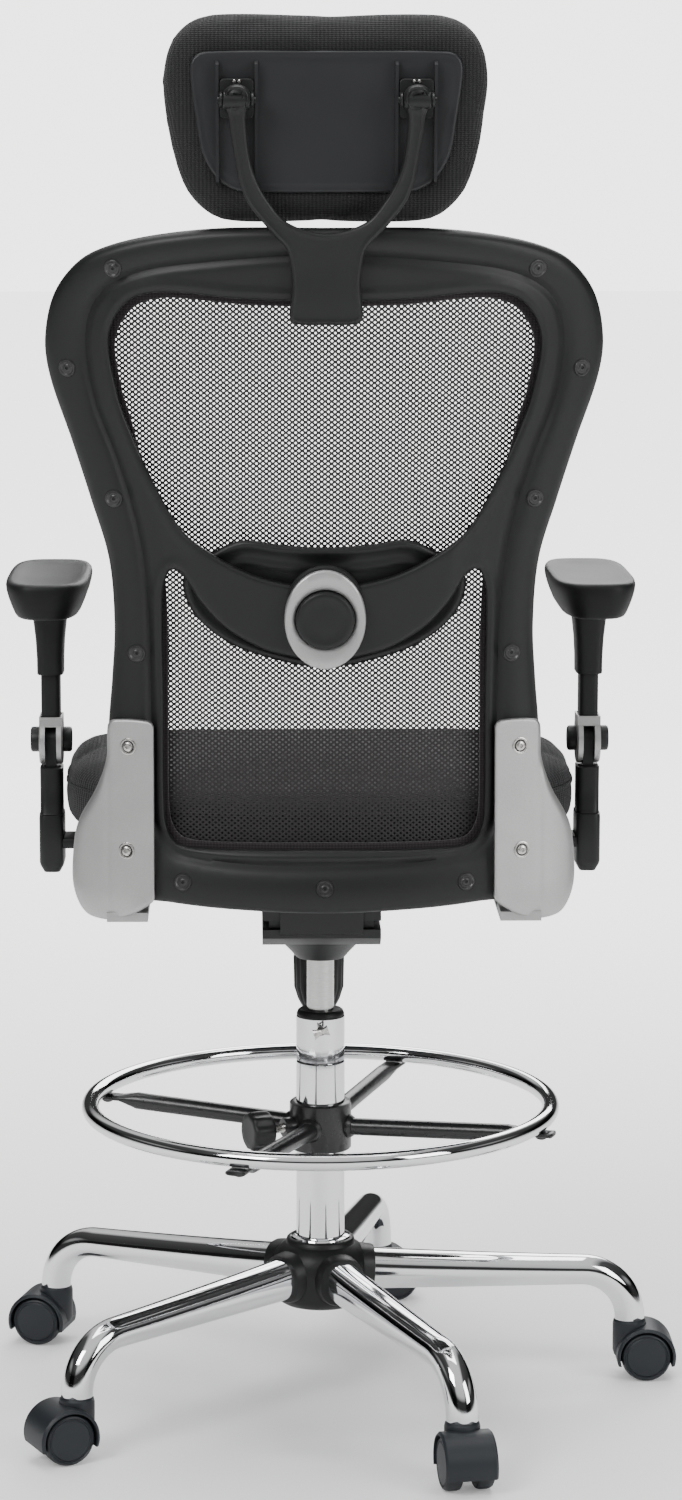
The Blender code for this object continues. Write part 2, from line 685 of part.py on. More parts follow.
def seat_pan():
    """Moulded pan under the cushion."""
    pan = outline_plate(seat_outline(0.030), 0.0, PAN_THICK, seat_level, "Z", fineness=2)
    return finish(pan, "seat_pan", "black_plastic")


def seat_cushion():
    """Plain solid of the upholstered seat: full size, with rounded edges."""
    low = PAN_THICK + GAP
    cushion = outline_plate(seat_outline(0.0), low, low + CUSHION_THICK, seat_level, "Z", fineness=2)
    rounding = cushion.modifiers.new("soft edges", "BEVEL")
    rounding.width = 0.018
    rounding.segments = 2
    rounding.limit_method = "ANGLE"
    rounding.angle_limit = math.radians(50.0)
    return finish(cushion, "seat_cushion", "black_fabric")


# ------------------------------------------------------------------ back
def back_y(z):
    """Depth of the back's rear surface on its middle line, at a height above the seat pan."""
    rise = z - BACK_BEND_Z
    slope = BACK_LEAN if rise > 0.0 else BACK_TUCK
    return BACK_Y - slope * (math.hypot(rise, BACK_BEND) - BACK_BEND)


def back_surface(x, z):
    return back_y(z) + BACK_WRAP * x * x


def back_slab(rear, front, half=BACK_HALF + 0.02, low=BACK_BOTTOM - 0.02,
              high=BACK_BOTTOM + BACK_HEIGHT + 0.02, across=8, up=12):
    """A slab that follows the back's surface, between two depths in front of it.

    Every slab of the frame uses the same grid, so layers that touch have matching facets.
    """
    bm = bmesh.new()
    bmesh.ops.create_grid(bm, x_segments=across, y_segments=up, size=1.0)
    for vert in bm.verts:
        x = vert.co.x * half
        z = low + (vert.co.y + 1.0) / 2.0 * (high - low)
        vert.co = (x, back_surface(x, z) + rear, z)
    bmesh.ops.recalc_face_normals(bm, faces=bm.faces)
    behind = list(bm.faces)
    made = bmesh.ops.extrude_face_region(bm, geom=behind)
    moved = [item for item in made["geom"] if isinstance(item, bmesh.types.BMVert)]
    bmesh.ops.translate(bm, vec=(0.0, front - rear, 0.0), verts=moved)
    bmesh.ops.recalc_face_normals(bm, faces=bm.faces)
    return add_object("slab", mesh_from(bm, "slab"), seat_level)


def back_outline(shape):
    """An outline given in shares of the back's half width and height, in metres."""
    return [(across * BACK_HALF, BACK_BOTTOM + up * BACK_HEIGHT) for across, up in shape]


FRAME_EDGE = [(0.0, 1.0), (0.338, 1.0), (0.560, 0.992), (0.748, 0.976), (0.868, 0.953),
              (0.962, 0.906), (1.0, 0.841), (0.985, 0.785), (0.910, 0.693), (0.842, 0.605),
              (0.780, 0.518), (0.763, 0.421), (0.774, 0.339), (0.788, 0.272), (0.797, 0.160),
              (0.780, 0.070), (0.700, 0.020), (0.560, 0.011), (0.338, 0.004), (0.0, 0.0)]
UPPER_OPENING = [(0.0, 0.897), (0.301, 0.900), (0.564, 0.909), (0.677, 0.900), (0.744, 0.873),
                 (0.770, 0.837), (0.744, 0.769), (0.711, 0.725), (0.617, 0.638), (0.519, 0.569),
                 (0.430, 0.538), (0.269, 0.504), (0.126, 0.489), (0.0, 0.485)]
LOWER_OPENING = [(0.0, 0.374), (0.126, 0.382), (0.233, 0.394), (0.360, 0.424), (0.451, 0.463),
                 (0.521, 0.504), (0.558, 0.505), (0.585, 0.470), (0.585, 0.300), (0.585, 0.160),
                 (0.575, 0.122), (0.540, 0.100), (0.470, 0.093), (0.0, 0.093)]
RIM_OPENING = [(0.0, 0.897), (0.301, 0.900), (0.564, 0.909), (0.677, 0.900), (0.744, 0.873),
               (0.770, 0.837), (0.744, 0.769), (0.711, 0.725), (0.650, 0.620), (0.600, 0.520),
               (0.585, 0.420), (0.585, 0.300), (0.585, 0.160), (0.575, 0.122), (0.540, 0.100),
               (0.470, 0.093), (0.0, 0.093)]
LUMBAR_SHAPE = [(0.0, 0.541), (0.162, 0.545), (0.295, 0.551), (0.393, 0.535), (0.508, 0.497),
                (0.477, 0.444), (0.342, 0.398), (0.126, 0.370), (0.0, 0.364)]


def shrunk(shape, lip):
    """The same outline drawn in toward its middle by about a lip's width."""
    metres = back_outline(shape)
    middle = (min(up for _, up in metres) + max(up for _, up in metres)) / 2.0
    widest = max(across for across, _ in metres)
    tallest = max(up for _, up in metres) - middle
    return [(across * (1.0 - lip / widest), middle + (up - middle) * (1.0 - lip / tallest))
            for across, up in metres]


def back_frame():
    """Main moulded frame: a ring with a crossbar that stands back behind the lumbar pad."""
    ring = back_slab(0.0, FRAME_THICK)
    boolean(ring, back_cutter(back_outline(FRAME_EDGE)), "INTERSECT")
    cut(ring, back_cutter(back_outline(RIM_OPENING)))
    bar = back_slab(BAR_REAR, BAR_FRONT)
    boolean(bar, back_cutter(bar_outline()), "INTERSECT")
    frame = join(ring, bar)
    cut(frame, cylinder(SPINDLE_RADIUS + GAP, -0.05, 0.05, lumbar_axis, "Y", sides=16))
    for side in (-1.0, 1.0):
        cut(frame, bolt_strip(side, BOLT_STRIP_THICK + GAP, 0.01, BOLT_STRIP_HALF + GAP))
        for across, up in BOLT_SPOTS:
            x = side * (BRACKET_INNER + across)
            cut(frame, cylinder(BOLT_SHANK + GAP, -0.40, -0.05, seat_level, "Y", (x, 0.0, up),
                                sides=12))
    return finish(frame, "back_frame", "black_plastic")


def back_cutter(half_outline):
    """A deep prism of a symmetric outline, for trimming slabs."""
    return outline_plate(mirrored(half_outline), -0.45, -0.05, seat_level, fineness=2)


def bolt_strip(side, depth, beyond, half):
    """The tapped strip under the carrier, or its pocket in the frame."""
    strip = back_slab(FRAME_THICK - depth, FRAME_THICK + beyond)
    ups = [up for _, up in BOLT_SPOTS]
    x = side * (BRACKET_INNER + (BOLT_SPOTS[0][0] + BOLT_SPOTS[1][0]) / 2.0)
    limits = box((x - half, -0.45, min(ups) - half), (x + half, -0.05, max(ups) + half), seat_level)
    return boolean(strip, limits, "INTERSECT")


def bar_outline():
    """The crossbar's half outline: under the upper opening and over the lower one."""
    upper = [point for point in UPPER_OPENING if point[1] < 0.66]
    lower = [point for point in LOWER_OPENING if point[1] > 0.37 and point[0] < 0.53]
    ends = [(0.680, 0.640), (0.660, 0.560), (0.640, 0.505)]
    shape = list(reversed(upper)) + ends + list(reversed(lower))
    return back_outline(shape)


def mesh_carrier():
    """Inner rim that the mesh is stretched on, screwed to the front of the frame."""
    start = FRAME_THICK + GAP
    rim = back_slab(start, start + CARRIER_THICK)
    boolean(rim, back_cutter(shrunk(FRAME_EDGE, CARRIER_INSET)), "INTERSECT")
    cut(rim, back_cutter(shrunk(RIM_OPENING, CARRIER_LIP)))
    return finish(rim, "mesh_carrier", "black_plastic")


def mesh_panel():
    """Mesh skin, a thin sheet over the whole carrier."""
    sheet = back_slab(MESH_START, MESH_START + MESH_THICK)
    boolean(sheet, back_cutter(shrunk(FRAME_EDGE, CARRIER_INSET)), "INTERSECT")
    return finish(sheet, "mesh_panel", "black_mesh")


def lumbar_pad():
    """Crescent pad in front of the crossbar; the knob pushes it toward the mesh."""
    start = BAR_FRONT + 2.0 * GAP
    pad = back_slab(start, start + LUMBAR_THICK)
    boolean(pad, back_cutter(back_outline(LUMBAR_SHAPE)), "INTERSECT")
    return finish(pad, "lumbar_pad", "black_plastic")


def oval(half_width, half_height, steps=32):
    return [(half_width * math.cos(TAU * step / steps), half_height * math.sin(TAU * step / steps))
            for step in range(steps)]


def lumbar_bezel():
    """Silver oval plate around the lumbar knob."""
    rear = BAR_REAR - 0.0085
    plate = outline_plate(oval(0.039, 0.0485), rear, BAR_REAR - 0.0018, lumbar_axis, smooth=False)
    hole = cylinder(LUMBAR_KNOB_RADIUS + 0.001, -0.05, 0.05, lumbar_axis, "Y", sides=32)
    return finish(cut(plate, hole), "lumbar_bezel", "satin_silver")


def lumbar_knob():
    """Round knob in the bezel, its spindle passing through the crossbar."""
    disc = cylinder(LUMBAR_KNOB_RADIUS, BAR_REAR - 0.0125, BAR_REAR - 0.0020, lumbar_axis, "Y",
                    sides=32)
    spindle = cylinder(SPINDLE_RADIUS, BAR_REAR - 0.004, BAR_FRONT - 0.0003, lumbar_axis, "Y", sides=16)
    return finish(join(disc, spindle), "lumbar_knob", "black_plastic")


# ------------------------------------------------------------------ back brackets
BRACKET_EDGE = [(0.0, 0.1490), (0.0050, 0.1545), (0.0400, 0.1545), (0.0450, 0.1490), (0.0465, 0.1165),
                (0.0570, 0.0855), (0.0750, 0.0515), (0.0805, 0.0215), (0.0800, -0.0150),
                (0.0680, -0.0385), (0.0450, -0.0435), (0.0250, -0.0375), (0.0040, -0.0240),
                (0.0, -0.0180), (0.0, 0.0600)]
BOLT_SPOTS = ((0.0250, 0.1295), (0.0270, 0.0275))


def back_bracket(side, name):
    """Cast bracket: a curved plate behind the frame and a foot that runs under the seat pan."""
    plate = back_slab(-BRACKET_THICK, -GAP)
    points = [(side * (BRACKET_INNER + across), up) for across, up in BRACKET_EDGE]
    boolean(plate, outline_plate(points, -0.45, -0.05, seat_level, fineness=2), "INTERSECT")
    left = side * 0.172
    right = side * 0.212
    bar = box((min(left, right), -0.212, -0.0435), (max(left, right), -0.090, -0.0345), seat_level)
    block = box((min(left, right), -0.160, -0.040), (max(left, right), -0.090, -GAP), seat_level)
    join(plate, bar, block)
    for across, up in BOLT_SPOTS:
        x = side * (BRACKET_INNER + across)
        hole = cylinder(BOLT_SHANK + GAP, -0.40, -0.05, seat_level, "Y", (x, 0.0, up), sides=12)
        cut(plate, hole)
    return finish(plate, name, "satin_silver")


def bracket_bolts(side, name):
    """Two button-head bolts through bracket and frame, screwed into one tapped strip."""
    bolts = bolt_strip(side, BOLT_STRIP_THICK, -GAP, BOLT_STRIP_HALF)
    for across, up in BOLT_SPOTS:
        x = side * (BRACKET_INNER + across)
        face = back_surface(x, up) - BRACKET_THICK
        head = cylinder(BOLT_RADIUS, face - 0.0062, face - 0.0024, seat_level, "Y", (x, 0.0, up))
        shank = cylinder(BOLT_SHANK, face - 0.0040, face + BRACKET_THICK + FRAME_THICK - 0.002,
                         seat_level, "Y", (x, 0.0, up), sides=12)
        join(bolts, head, shank)
    return finish(bolts, name, "bright_steel")


# ------------------------------------------------------------------ headrest
# Heights in these two are from the top of the back.
YOKE_OUTER = [(0.0, -0.0899), (0.0300, -0.0889), (0.0340, -0.0834), (0.0314, -0.0524),
              (0.0335, -0.0329), (0.0370, -0.0192), (0.0477, -0.0072), (0.0588, 0.0049),
              (0.0740, 0.0251), (0.0812, 0.0454), (0.0847, 0.0656), (0.0885, 0.0956),
              (0.0898, 0.1106)]
YOKE_INNER = [(0.0754, 0.1106), (0.0740, 0.0956), (0.0708, 0.0656), (0.0650, 0.0454),
              (0.0538, 0.0251), (0.0355, 0.0049), (0.0, -0.0052)]


def headrest_yoke():
    """Forked arm on the back of the frame, with a barrel and pins at each tip."""
    slab = back_slab(-YOKE_THICK - GAP, -GAP, 0.11, BACK_TOP - 0.1094, BACK_TOP + 0.1506, 6, 8)
    half = [(across, BACK_TOP + up) for across, up in YOKE_OUTER + YOKE_INNER]
    boolean(slab, back_cutter(half), "INTERSECT")
    for side in (-1.0, 1.0):
        at = (side * HEAD_ARM_X, 0.0, 0.0)
        barrel = cylinder(0.0080, -0.0120, 0.0120, head_axis, "X", at, sides=20)
        pin = cylinder(0.0030, -0.0175, 0.0175, head_axis, "X", at, sides=12)
        join(slab, barrel, pin)
    return finish(slab, "headrest_yoke", "black_plastic")


def headrest_slider(side, name):
    """Slider in the headrest's rail, hung on the yoke's pins by two ears."""
    at = side * HEAD_ARM_X
    base = box((at - SLIDER_HALF, SLIDER_Y, -0.018), (at + SLIDER_HALF, SLIDER_Y + SLIDER_THICK, 0.018),
               head_axis)
    for edge in (-1.0, 1.0):
        near = at + edge * 0.0130
        far = at + edge * SLIDER_HALF
        ear = box((min(near, far), -0.0060, -0.0065), (max(near, far), SLIDER_Y + 0.001, 0.0065),
                  head_axis)
        join(base, ear)
    bore = cylinder(0.0030 + GAP, -0.03, 0.03, head_axis, "X", (at, 0.0, 0.0), sides=12)
    return finish(cut(base, bore), name, "black_plastic")


def headrest_panel():
    """Moulded back of the headrest, with a pair of ribs that guides each slider."""
    half = [(0.0, 0.0430), (0.1100, 0.0425), (0.1230, 0.0380), (0.1256, 0.0260), (0.1190, -0.0250),
            (0.1130, -0.0550), (0.1000, -0.0760), (0.0826, -0.0850), (0.0, -0.0865)]
    low = HEAD_PANEL_Y
    panel = outline_plate(mirrored(half), low, low + HEAD_PANEL_THICK, head_axis, fineness=2)
    rib_y = SLIDER_Y - 0.0005
    for side in (-1.0, 1.0):
        for edge in (-1.0, 1.0):
            near = side * HEAD_ARM_X + edge * (SLIDER_HALF + GAP + 0.0002)
            far = near + edge * RAIL_WIDTH
            rib = box((min(near, far), rib_y, -0.0800), (max(near, far), low + 0.001, 0.0340),
                      head_axis)
            join(panel, rib)
    return finish(panel, "headrest_panel", "black_plastic")


def headrest_cushion():
    """Plain solid of the headrest's cushion."""
    top = HEAD_CUSHION_TOP
    low = HEAD_CUSHION_BOTTOM
    half = [(0.0, top), (0.70 * HEAD_HALF, top - 0.002), (0.90 * HEAD_HALF, top - 0.018),
            (HEAD_HALF, top - 0.055), (0.96 * HEAD_HALF, top - 0.115), (0.89 * HEAD_HALF, low + 0.042),
            (0.74 * HEAD_HALF, low + 0.012), (0.45 * HEAD_HALF, low), (0.0, low)]
    start = HEAD_PANEL_Y + HEAD_PANEL_THICK + GAP
    cushion = outline_plate(mirrored(half), start, start + HEAD_CUSHION_THICK, head_axis,
                            fineness=2)
    rounding = cushion.modifiers.new("soft edges", "BEVEL")
    rounding.width = 0.018
    rounding.segments = 2
    rounding.limit_method = "ANGLE"
    rounding.angle_limit = math.radians(50.0)
    return finish(cushion, "headrest_cushion", "black_fabric")


# ------------------------------------------------------------------ arms
def arm_support(side, parent, word):
    """Fixed post: a foot under the seat pan, an upright, and a tongue for the flip joint."""
    half = ARM_POST_WIDTH / 2.0
    shoulder = ARM_PIVOT_Z - KNUCKLE_RADIUS - 0.0015
    post = box((-half, -ARM_POST_DEPTH / 2.0, -0.0350), (half, ARM_POST_DEPTH / 2.0, shoulder),
               parent, bevel=0.004)
    boot = box((-half - 0.0012, -0.026, -0.0370), (half + 0.0012, 0.026, 0.0240), parent,
               bevel=0.005)
    inward = sorted((-side * (half - 0.003), -side * 0.165))
    foot = box((inward[0], -0.022, -0.0120), (inward[1], 0.022, -GAP), parent)
    tongue = outline_plate(tongue_outline(shoulder), -TONGUE_THICK / 2.0, TONGUE_THICK / 2.0, parent,
                           "X", smooth=False)
    hole = cylinder(ARM_PIN_RADIUS + GAP, -0.05, 0.05, parent, "X", (0.0, 0.0, ARM_PIVOT_Z), sides=16)
    return finish(cut(join(post, boot, foot, tongue), hole), f"arm_support_{word}", "black_plastic")


def tongue_outline(shoulder):
    """Side view of the tongue: straight up from the shoulder, round over the flip axis."""
    radius = TONGUE_RADIUS
    points = [(radius, shoulder - 0.004), (-radius, shoulder - 0.004)]
    for step in range(9):
        angle = math.pi * (1.0 - step / 8.0)
        points.append((radius * math.cos(angle), ARM_PIVOT_Z + radius * math.sin(angle)))
    return points


def arm_clamp(parent, word):
    """Silver knuckle that turns on the tongue; its slot is open below and behind."""
    half = ARM_POST_WIDTH / 2.0
    neck = 0.0195
    knuckle = cylinder(KNUCKLE_RADIUS, -half, half, parent, "X", sides=36)
    throat = box((-half, -neck, 0.0), (half, neck, 0.0250), parent)
    slot = TONGUE_THICK / 2.0 + 0.0005
    room = TONGUE_RADIUS + 0.0012
    arc = [(room * math.sin(math.pi / 12.0 * (6 - step)), room * math.cos(math.pi / 12.0 * (6 - step)))
           for step in range(7)]
    slot_side = [(room, -0.05)] + arc + [(-0.05, room), (-0.05, -0.05)]
    space = outline_plate(slot_side, -slot, slot, parent, "X", smooth=False)
    hole = cylinder(ARM_PIN_RADIUS + GAP, -0.05, 0.05, parent, "X", sides=16)
    socket = box((-ARM_TUBE_WIDTH / 2.0 - GAP, -ARM_TUBE_DEPTH / 2.0 - GAP, 0.0170),
                 (ARM_TUBE_WIDTH / 2.0 + GAP, ARM_TUBE_DEPTH / 2.0 + GAP, 0.05), parent)
    clamp = cut(join(knuckle, throat), space, hole, socket)
    return finish(clamp, f"arm_clamp_{word}", "satin_silver")


def arm_pivot_bolt(parent, word):
    """Cross pin of the flip joint with its round caps."""
    half = ARM_POST_WIDTH / 2.0 + GAP
    pin = cylinder(ARM_PIN_RADIUS, -half - 0.004, half + 0.004, parent, "X", sides=16)
    for side in (-1.0, 1.0):
        near = side * half
        far = side * (half + ARM_CAP_THICK)
        cap = cylinder(ARM_CAP_RADIUS, min(near, far), max(near, far), parent, "X", sides=24)
        join(pin, cap)
    return finish(pin, f"arm_pivot_bolt_{word}", "black_plastic")


def arm_tube(parent, word):
    """Inner tube, seated in the knuckle and hidden in the sleeve above."""
    half = ARM_TUBE_WIDTH / 2.0
    deep = ARM_TUBE_DEPTH / 2.0
    tube = box((-half, -deep, 0.0173), (half, deep, SLEEVE_BOTTOM + 0.035), parent, bevel=0.003)
    return finish(tube, f"arm_tube_{word}", "black_plastic")


def arm_sleeve(parent, word):
    """Outer sleeve that slides on the tube; it widens toward the pad."""
    low = SLEEVE_BOTTOM
    top = SLEEVE_TOP
    half = SLEEVE_WIDTH / 2.0
    side = [(-half, low), (half, low), (half + 0.0045, top), (-half - 0.0045, top)]
    sleeve = outline_plate(side, -SLEEVE_DEPTH / 2.0, SLEEVE_DEPTH / 2.0, parent, smooth=False)
    room = 0.0005
    bore = box((-ARM_TUBE_WIDTH / 2.0 - room, -ARM_TUBE_DEPTH / 2.0 - room, low - 0.02),
               (ARM_TUBE_WIDTH / 2.0 + room, ARM_TUBE_DEPTH / 2.0 + room, top - 0.004), parent)
    return finish(cut(sleeve, bore), f"arm_sleeve_{word}", "black_plastic")


def arm_pad(parent, word):
    """Soft pad on top of the sleeve: tapered underside, flat top."""
    low = SLEEVE_TOP + GAP
    wide = PAD_WIDTH / 2.0
    end = PAD_LENGTH / 2.0
    section = [(-0.38 * PAD_WIDTH, low), (0.38 * PAD_WIDTH, low), (wide, low + 0.5 * PAD_THICK),
               (wide, low + 0.85 * PAD_THICK), (0.9 * wide, low + PAD_THICK),
               (-0.9 * wide, low + PAD_THICK), (-wide, low + 0.85 * PAD_THICK),
               (-wide, low + 0.5 * PAD_THICK)]
    bar = outline_plate(section, -end, end, parent, smooth=False)
    plan = [(wide * x, end * y) for x, y in
            ((0.55, -1.0), (0.9, -0.93), (1.0, -0.75), (1.0, 0.0), (1.0, 0.72), (0.85, 0.93),
             (0.5, 1.0), (-0.5, 1.0), (-0.85, 0.93), (-1.0, 0.72), (-1.0, 0.0), (-1.0, -0.75),
             (-0.9, -0.93), (-0.55, -1.0))]
    rounder = outline_plate(plan, low - 0.02, low + PAD_THICK + 0.02, parent, "Z", fineness=2)
    boolean(bar, rounder, "INTERSECT")
    return finish(bar, f"arm_pad_{word}", "arm_pad_rubber")


def arm(side, word):
    post = empty(f"arm_post_{word}", seat_level, (side * ARM_X, ARM_Y, 0.0))
    flip = empty(f"arm_flip_{word}", post, (0.0, 0.0, ARM_PIVOT_Z))
    arm_support(side, post, word)
    arm_clamp(flip, word)
    arm_pivot_bolt(flip, word)
    arm_tube(flip, word)
    arm_sleeve(flip, word)
    arm_pad(flip, word)


# ------------------------------------------------------------------ assembly
clear_scene()
parts = new_collection("drafting_chair")
cutters = new_collection("cutters")

chair = empty("chair", None, (COLUMN_X, COLUMN_Y, 0.0))
ring_level = empty("ring_level", chair, (0.0, 0.0, RING_Z))
seat_level = empty("seat_level", chair, (0.0, 0.0, SEAT_LEVEL))
lumbar_slope = (back_y(LUMBAR_Z + 0.01) - back_y(LUMBAR_Z - 0.01)) / 0.02
lumbar_axis = empty("lumbar_axis", seat_level, (0.0, back_y(LUMBAR_Z), LUMBAR_Z),
                    (-math.atan(lumbar_slope), 0.0, 0.0))
head_axis = empty("head_axis", seat_level,
                  (0.0, back_surface(HEAD_ARM_X, HEAD_Z) - YOKE_THICK / 2.0, HEAD_Z),
                  (HEAD_LEAN, 0.0, 0.0))

base_hub()
for leg_number in range(LEG_COUNT):
    base_leg(leg_number)
casters()

column_tube()
column_collar()
collar_screw()
column_bush()
piston_rod()
gas_cylinder()

foot_ring()
foot_ring_spider()
foot_ring_knob()

mechanism_housing()
seat_plate()
tilt_pin()
tension_knob()
lever("height_lever", 1.0)
lever("tilt_lock_lever", -1.0)

seat_pan()
seat_cushion()

back_frame()
mesh_carrier()
mesh_panel()
lumbar_pad()
lumbar_bezel()
lumbar_knob()
for side_sign, side_word in ((-1.0, "left"), (1.0, "right")):
    back_bracket(side_sign, f"back_bracket_{side_word}")
    bracket_bolts(side_sign, f"bracket_bolts_{side_word}")

headrest_yoke()
headrest_slider(-1.0, "headrest_slider_left")
headrest_slider(1.0, "headrest_slider_right")
headrest_panel()
headrest_cushion()

arm(-1.0, "left")
arm(1.0, "right")
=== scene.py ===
"""Drafting chair: the looks of every piece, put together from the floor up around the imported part."""

import math

import bmesh
import bpy
import numpy as np
from mathutils import Matrix, Vector
from mathutils.bvhtree import BVHTree
from mathutils.geometry import delaunay_2d_cdt


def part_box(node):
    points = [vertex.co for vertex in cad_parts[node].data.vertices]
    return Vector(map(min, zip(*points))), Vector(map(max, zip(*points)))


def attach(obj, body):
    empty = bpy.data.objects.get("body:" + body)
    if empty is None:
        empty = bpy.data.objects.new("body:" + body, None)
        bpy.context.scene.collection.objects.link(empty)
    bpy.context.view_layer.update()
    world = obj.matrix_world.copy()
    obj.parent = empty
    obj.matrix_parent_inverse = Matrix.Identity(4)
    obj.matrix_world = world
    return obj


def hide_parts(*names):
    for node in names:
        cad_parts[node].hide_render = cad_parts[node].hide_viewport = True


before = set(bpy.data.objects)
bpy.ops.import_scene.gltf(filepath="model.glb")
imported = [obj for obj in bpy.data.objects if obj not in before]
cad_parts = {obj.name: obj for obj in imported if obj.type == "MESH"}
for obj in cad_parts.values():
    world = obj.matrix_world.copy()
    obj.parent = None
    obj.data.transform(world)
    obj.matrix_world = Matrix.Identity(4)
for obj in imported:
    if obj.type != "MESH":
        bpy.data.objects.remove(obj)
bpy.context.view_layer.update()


# ---------------------------------------------------------------- chrome legs
# Five swaged steel tubes, chrome plated. Each leaves the hub nearly flat and turns down at its end,
# where a plated socket takes the caster's stem.
LEG_TURN = math.radians(-66.25)
LEG_REACH = 0.329
LEG_BEND = 0.054
LEG_TUBE = 0.0160
LEG_ROOT = 0.0215
LEG_ROOT_Z = 0.129
LEG_END_Z = 0.064

tube_low, tube_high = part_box("column_tube")
AXIS_X = (tube_low.x + tube_high.x) / 2.0
AXIS_Y = (tube_low.y + tube_high.y) / 2.0


class Wire:
    """A node's output that adds Math nodes when it is used in an expression."""

    def __init__(self, tree, socket):
        self.tree = tree
        self.socket = socket

    def math(self, operation, *others):
        made = self.tree.nodes.new("ShaderNodeMath")
        made.operation = operation
        for slot, value in zip(made.inputs, (self, *others)):
            feed(self.tree, slot, value)
        return Wire(self.tree, made.outputs[0])

    def __add__(self, other):
        return self.math("ADD", other)

    def __radd__(self, other):
        return self.math("ADD", other)

    def __sub__(self, other):
        return self.math("SUBTRACT", other)

    def __rsub__(self, other):
        return swapped(self, other, "SUBTRACT")

    def __mul__(self, other):
        return self.math("MULTIPLY", other)

    def __rmul__(self, other):
        return self.math("MULTIPLY", other)

    def __truediv__(self, other):
        return self.math("DIVIDE", other)

    def __abs__(self):
        return self.math("ABSOLUTE")

    def __pow__(self, other):
        return self.math("POWER", other)


def swapped(wire, other, operation):
    made = wire.tree.nodes.new("ShaderNodeMath")
    made.operation = operation
    feed(wire.tree, made.inputs[0], other)
    feed(wire.tree, made.inputs[1], wire)
    return Wire(wire.tree, made.outputs[0])


def feed(tree, slot, value):
    """Link a wire to a socket, or set the socket's own value."""
    if isinstance(value, Wire):
        tree.links.new(value.socket, slot)
    elif isinstance(value, bpy.types.ID) or not hasattr(value, "__len__"):
        slot.default_value = value
    else:
        room = len(slot.default_value)
        slot.default_value = (*value, 1.0)[:room] if len(value) < room else value


class Nodes:
    """A node tree, with one method that adds any node."""

    def __init__(self, tree):
        self.tree = tree

    def node(self, kind, values=None, output=0, stops=None, **settings):
        made = self.tree.nodes.new(kind)
        for name, value in settings.items():
            setattr(made, name, value)
        if stops:
            ramp = made.color_ramp
            while len(ramp.elements) < len(stops):
                ramp.elements.new(0.5)
            for element, (place, shade) in zip(ramp.elements, stops):
                element.position = place
                element.color = (shade, shade, shade, 1.0)
        for name, value in (values or {}).items():
            feed(self.tree, made.inputs[name], value)
        return Wire(self.tree, made.outputs[output])


class Finish(Nodes):
    """A material: a Principled shader and the expressions that feed it."""

    def __init__(self, name, **constants):
        self.material = bpy.data.materials.new(name)
        self.material.use_nodes = True
        super().__init__(self.material.node_tree)
        self.shader = self.tree.nodes["Principled BSDF"]
        self.place = self.node("ShaderNodeTexCoord", output="Object")
        self.set(**constants)

    def set(self, **values):
        for name, value in values.items():
            feed(self.tree, self.shader.inputs[name.replace("_", " ")], value)

    def axes(self, vector=None):
        split = self.node("ShaderNodeSeparateXYZ", {"Vector": vector or self.place})
        return [Wire(self.tree, out) for out in split.socket.node.outputs]

    def noise(self, scale, detail=2.0):
        return self.node("ShaderNodeTexNoise", {"Vector": self.place, "Scale": scale, "Detail": detail})

    def blend(self, factor, first, second):
        return self.node("ShaderNodeMix", {0: factor, 6: first, 7: second}, 2, data_type="RGBA")

    def bump(self, height, depth):
        self.set(Normal=self.node("ShaderNodeBump", {"Height": height, "Distance": depth}))


def chrome_plate():
    plate = Finish("chrome_plate", Metallic=1.0)
    haze = plate.noise(14.0, 3.0)
    plate.set(Base_Color=plate.blend(haze, (0.80, 0.81, 0.83), (0.88, 0.88, 0.89)))
    plate.set(Roughness=0.035 + 0.05 * haze)
    plate.bump(plate.noise(60.0), 0.00004)
    return plate.material


def show(name, points, faces, paint, smooth=35.0):
    """A closed mesh in the scene, its faces pointing outwards."""
    data = bpy.data.meshes.new(name)
    data.from_pydata([tuple(point) for point in points], [], [tuple(face) for face in faces])
    bm = bmesh.new()
    bm.from_mesh(data)
    bmesh.ops.remove_doubles(bm, verts=bm.verts, dist=0.000005)
    bmesh.ops.recalc_face_normals(bm, faces=bm.faces)
    bm.to_mesh(data)
    bm.free()
    piece = bpy.data.objects.new(name, data)
    bpy.context.scene.collection.objects.link(piece)
    data.materials.append(paint)
    data.shade_smooth()
    data.set_sharp_from_angle(angle=math.radians(smooth))
    return piece


def place(piece, body, finish_slot, *nodes):
    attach(piece, body)
    if nodes:
        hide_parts(*nodes)
    return piece


def loft(rings, closed=False):
    """Points and faces of a skin through rings of points, capped at both ends unless closed."""
    count = len(rings[0])
    points = [Vector(point) for ring in rings for point in ring]
    faces = []
    last = len(rings) if closed else len(rings) - 1
    for row in range(last):
        here = row * count
        after = (row + 1) % len(rings) * count
        for side in range(count):
            beside = (side + 1) % count
            faces.append((here + side, here + beside, after + beside, after + side))
    if not closed:
        faces.append(tuple(range(count)))
        faces.append(tuple(range((len(rings) - 1) * count, len(rings) * count)))
    return points, faces


def oval(across, up, power=2.0, count=32):
    """A ring of (across, up) pairs: an ellipse at power 2, squarer above."""
    ring = []
    for step in range(count):
        turn = math.tau * (step + 0.5) / count
        c, s = math.cos(turn), math.sin(turn)
        ring.append((across * math.copysign(abs(c) ** (2.0 / power), c),
                     up * math.copysign(abs(s) ** (2.0 / power), s)))
    return ring


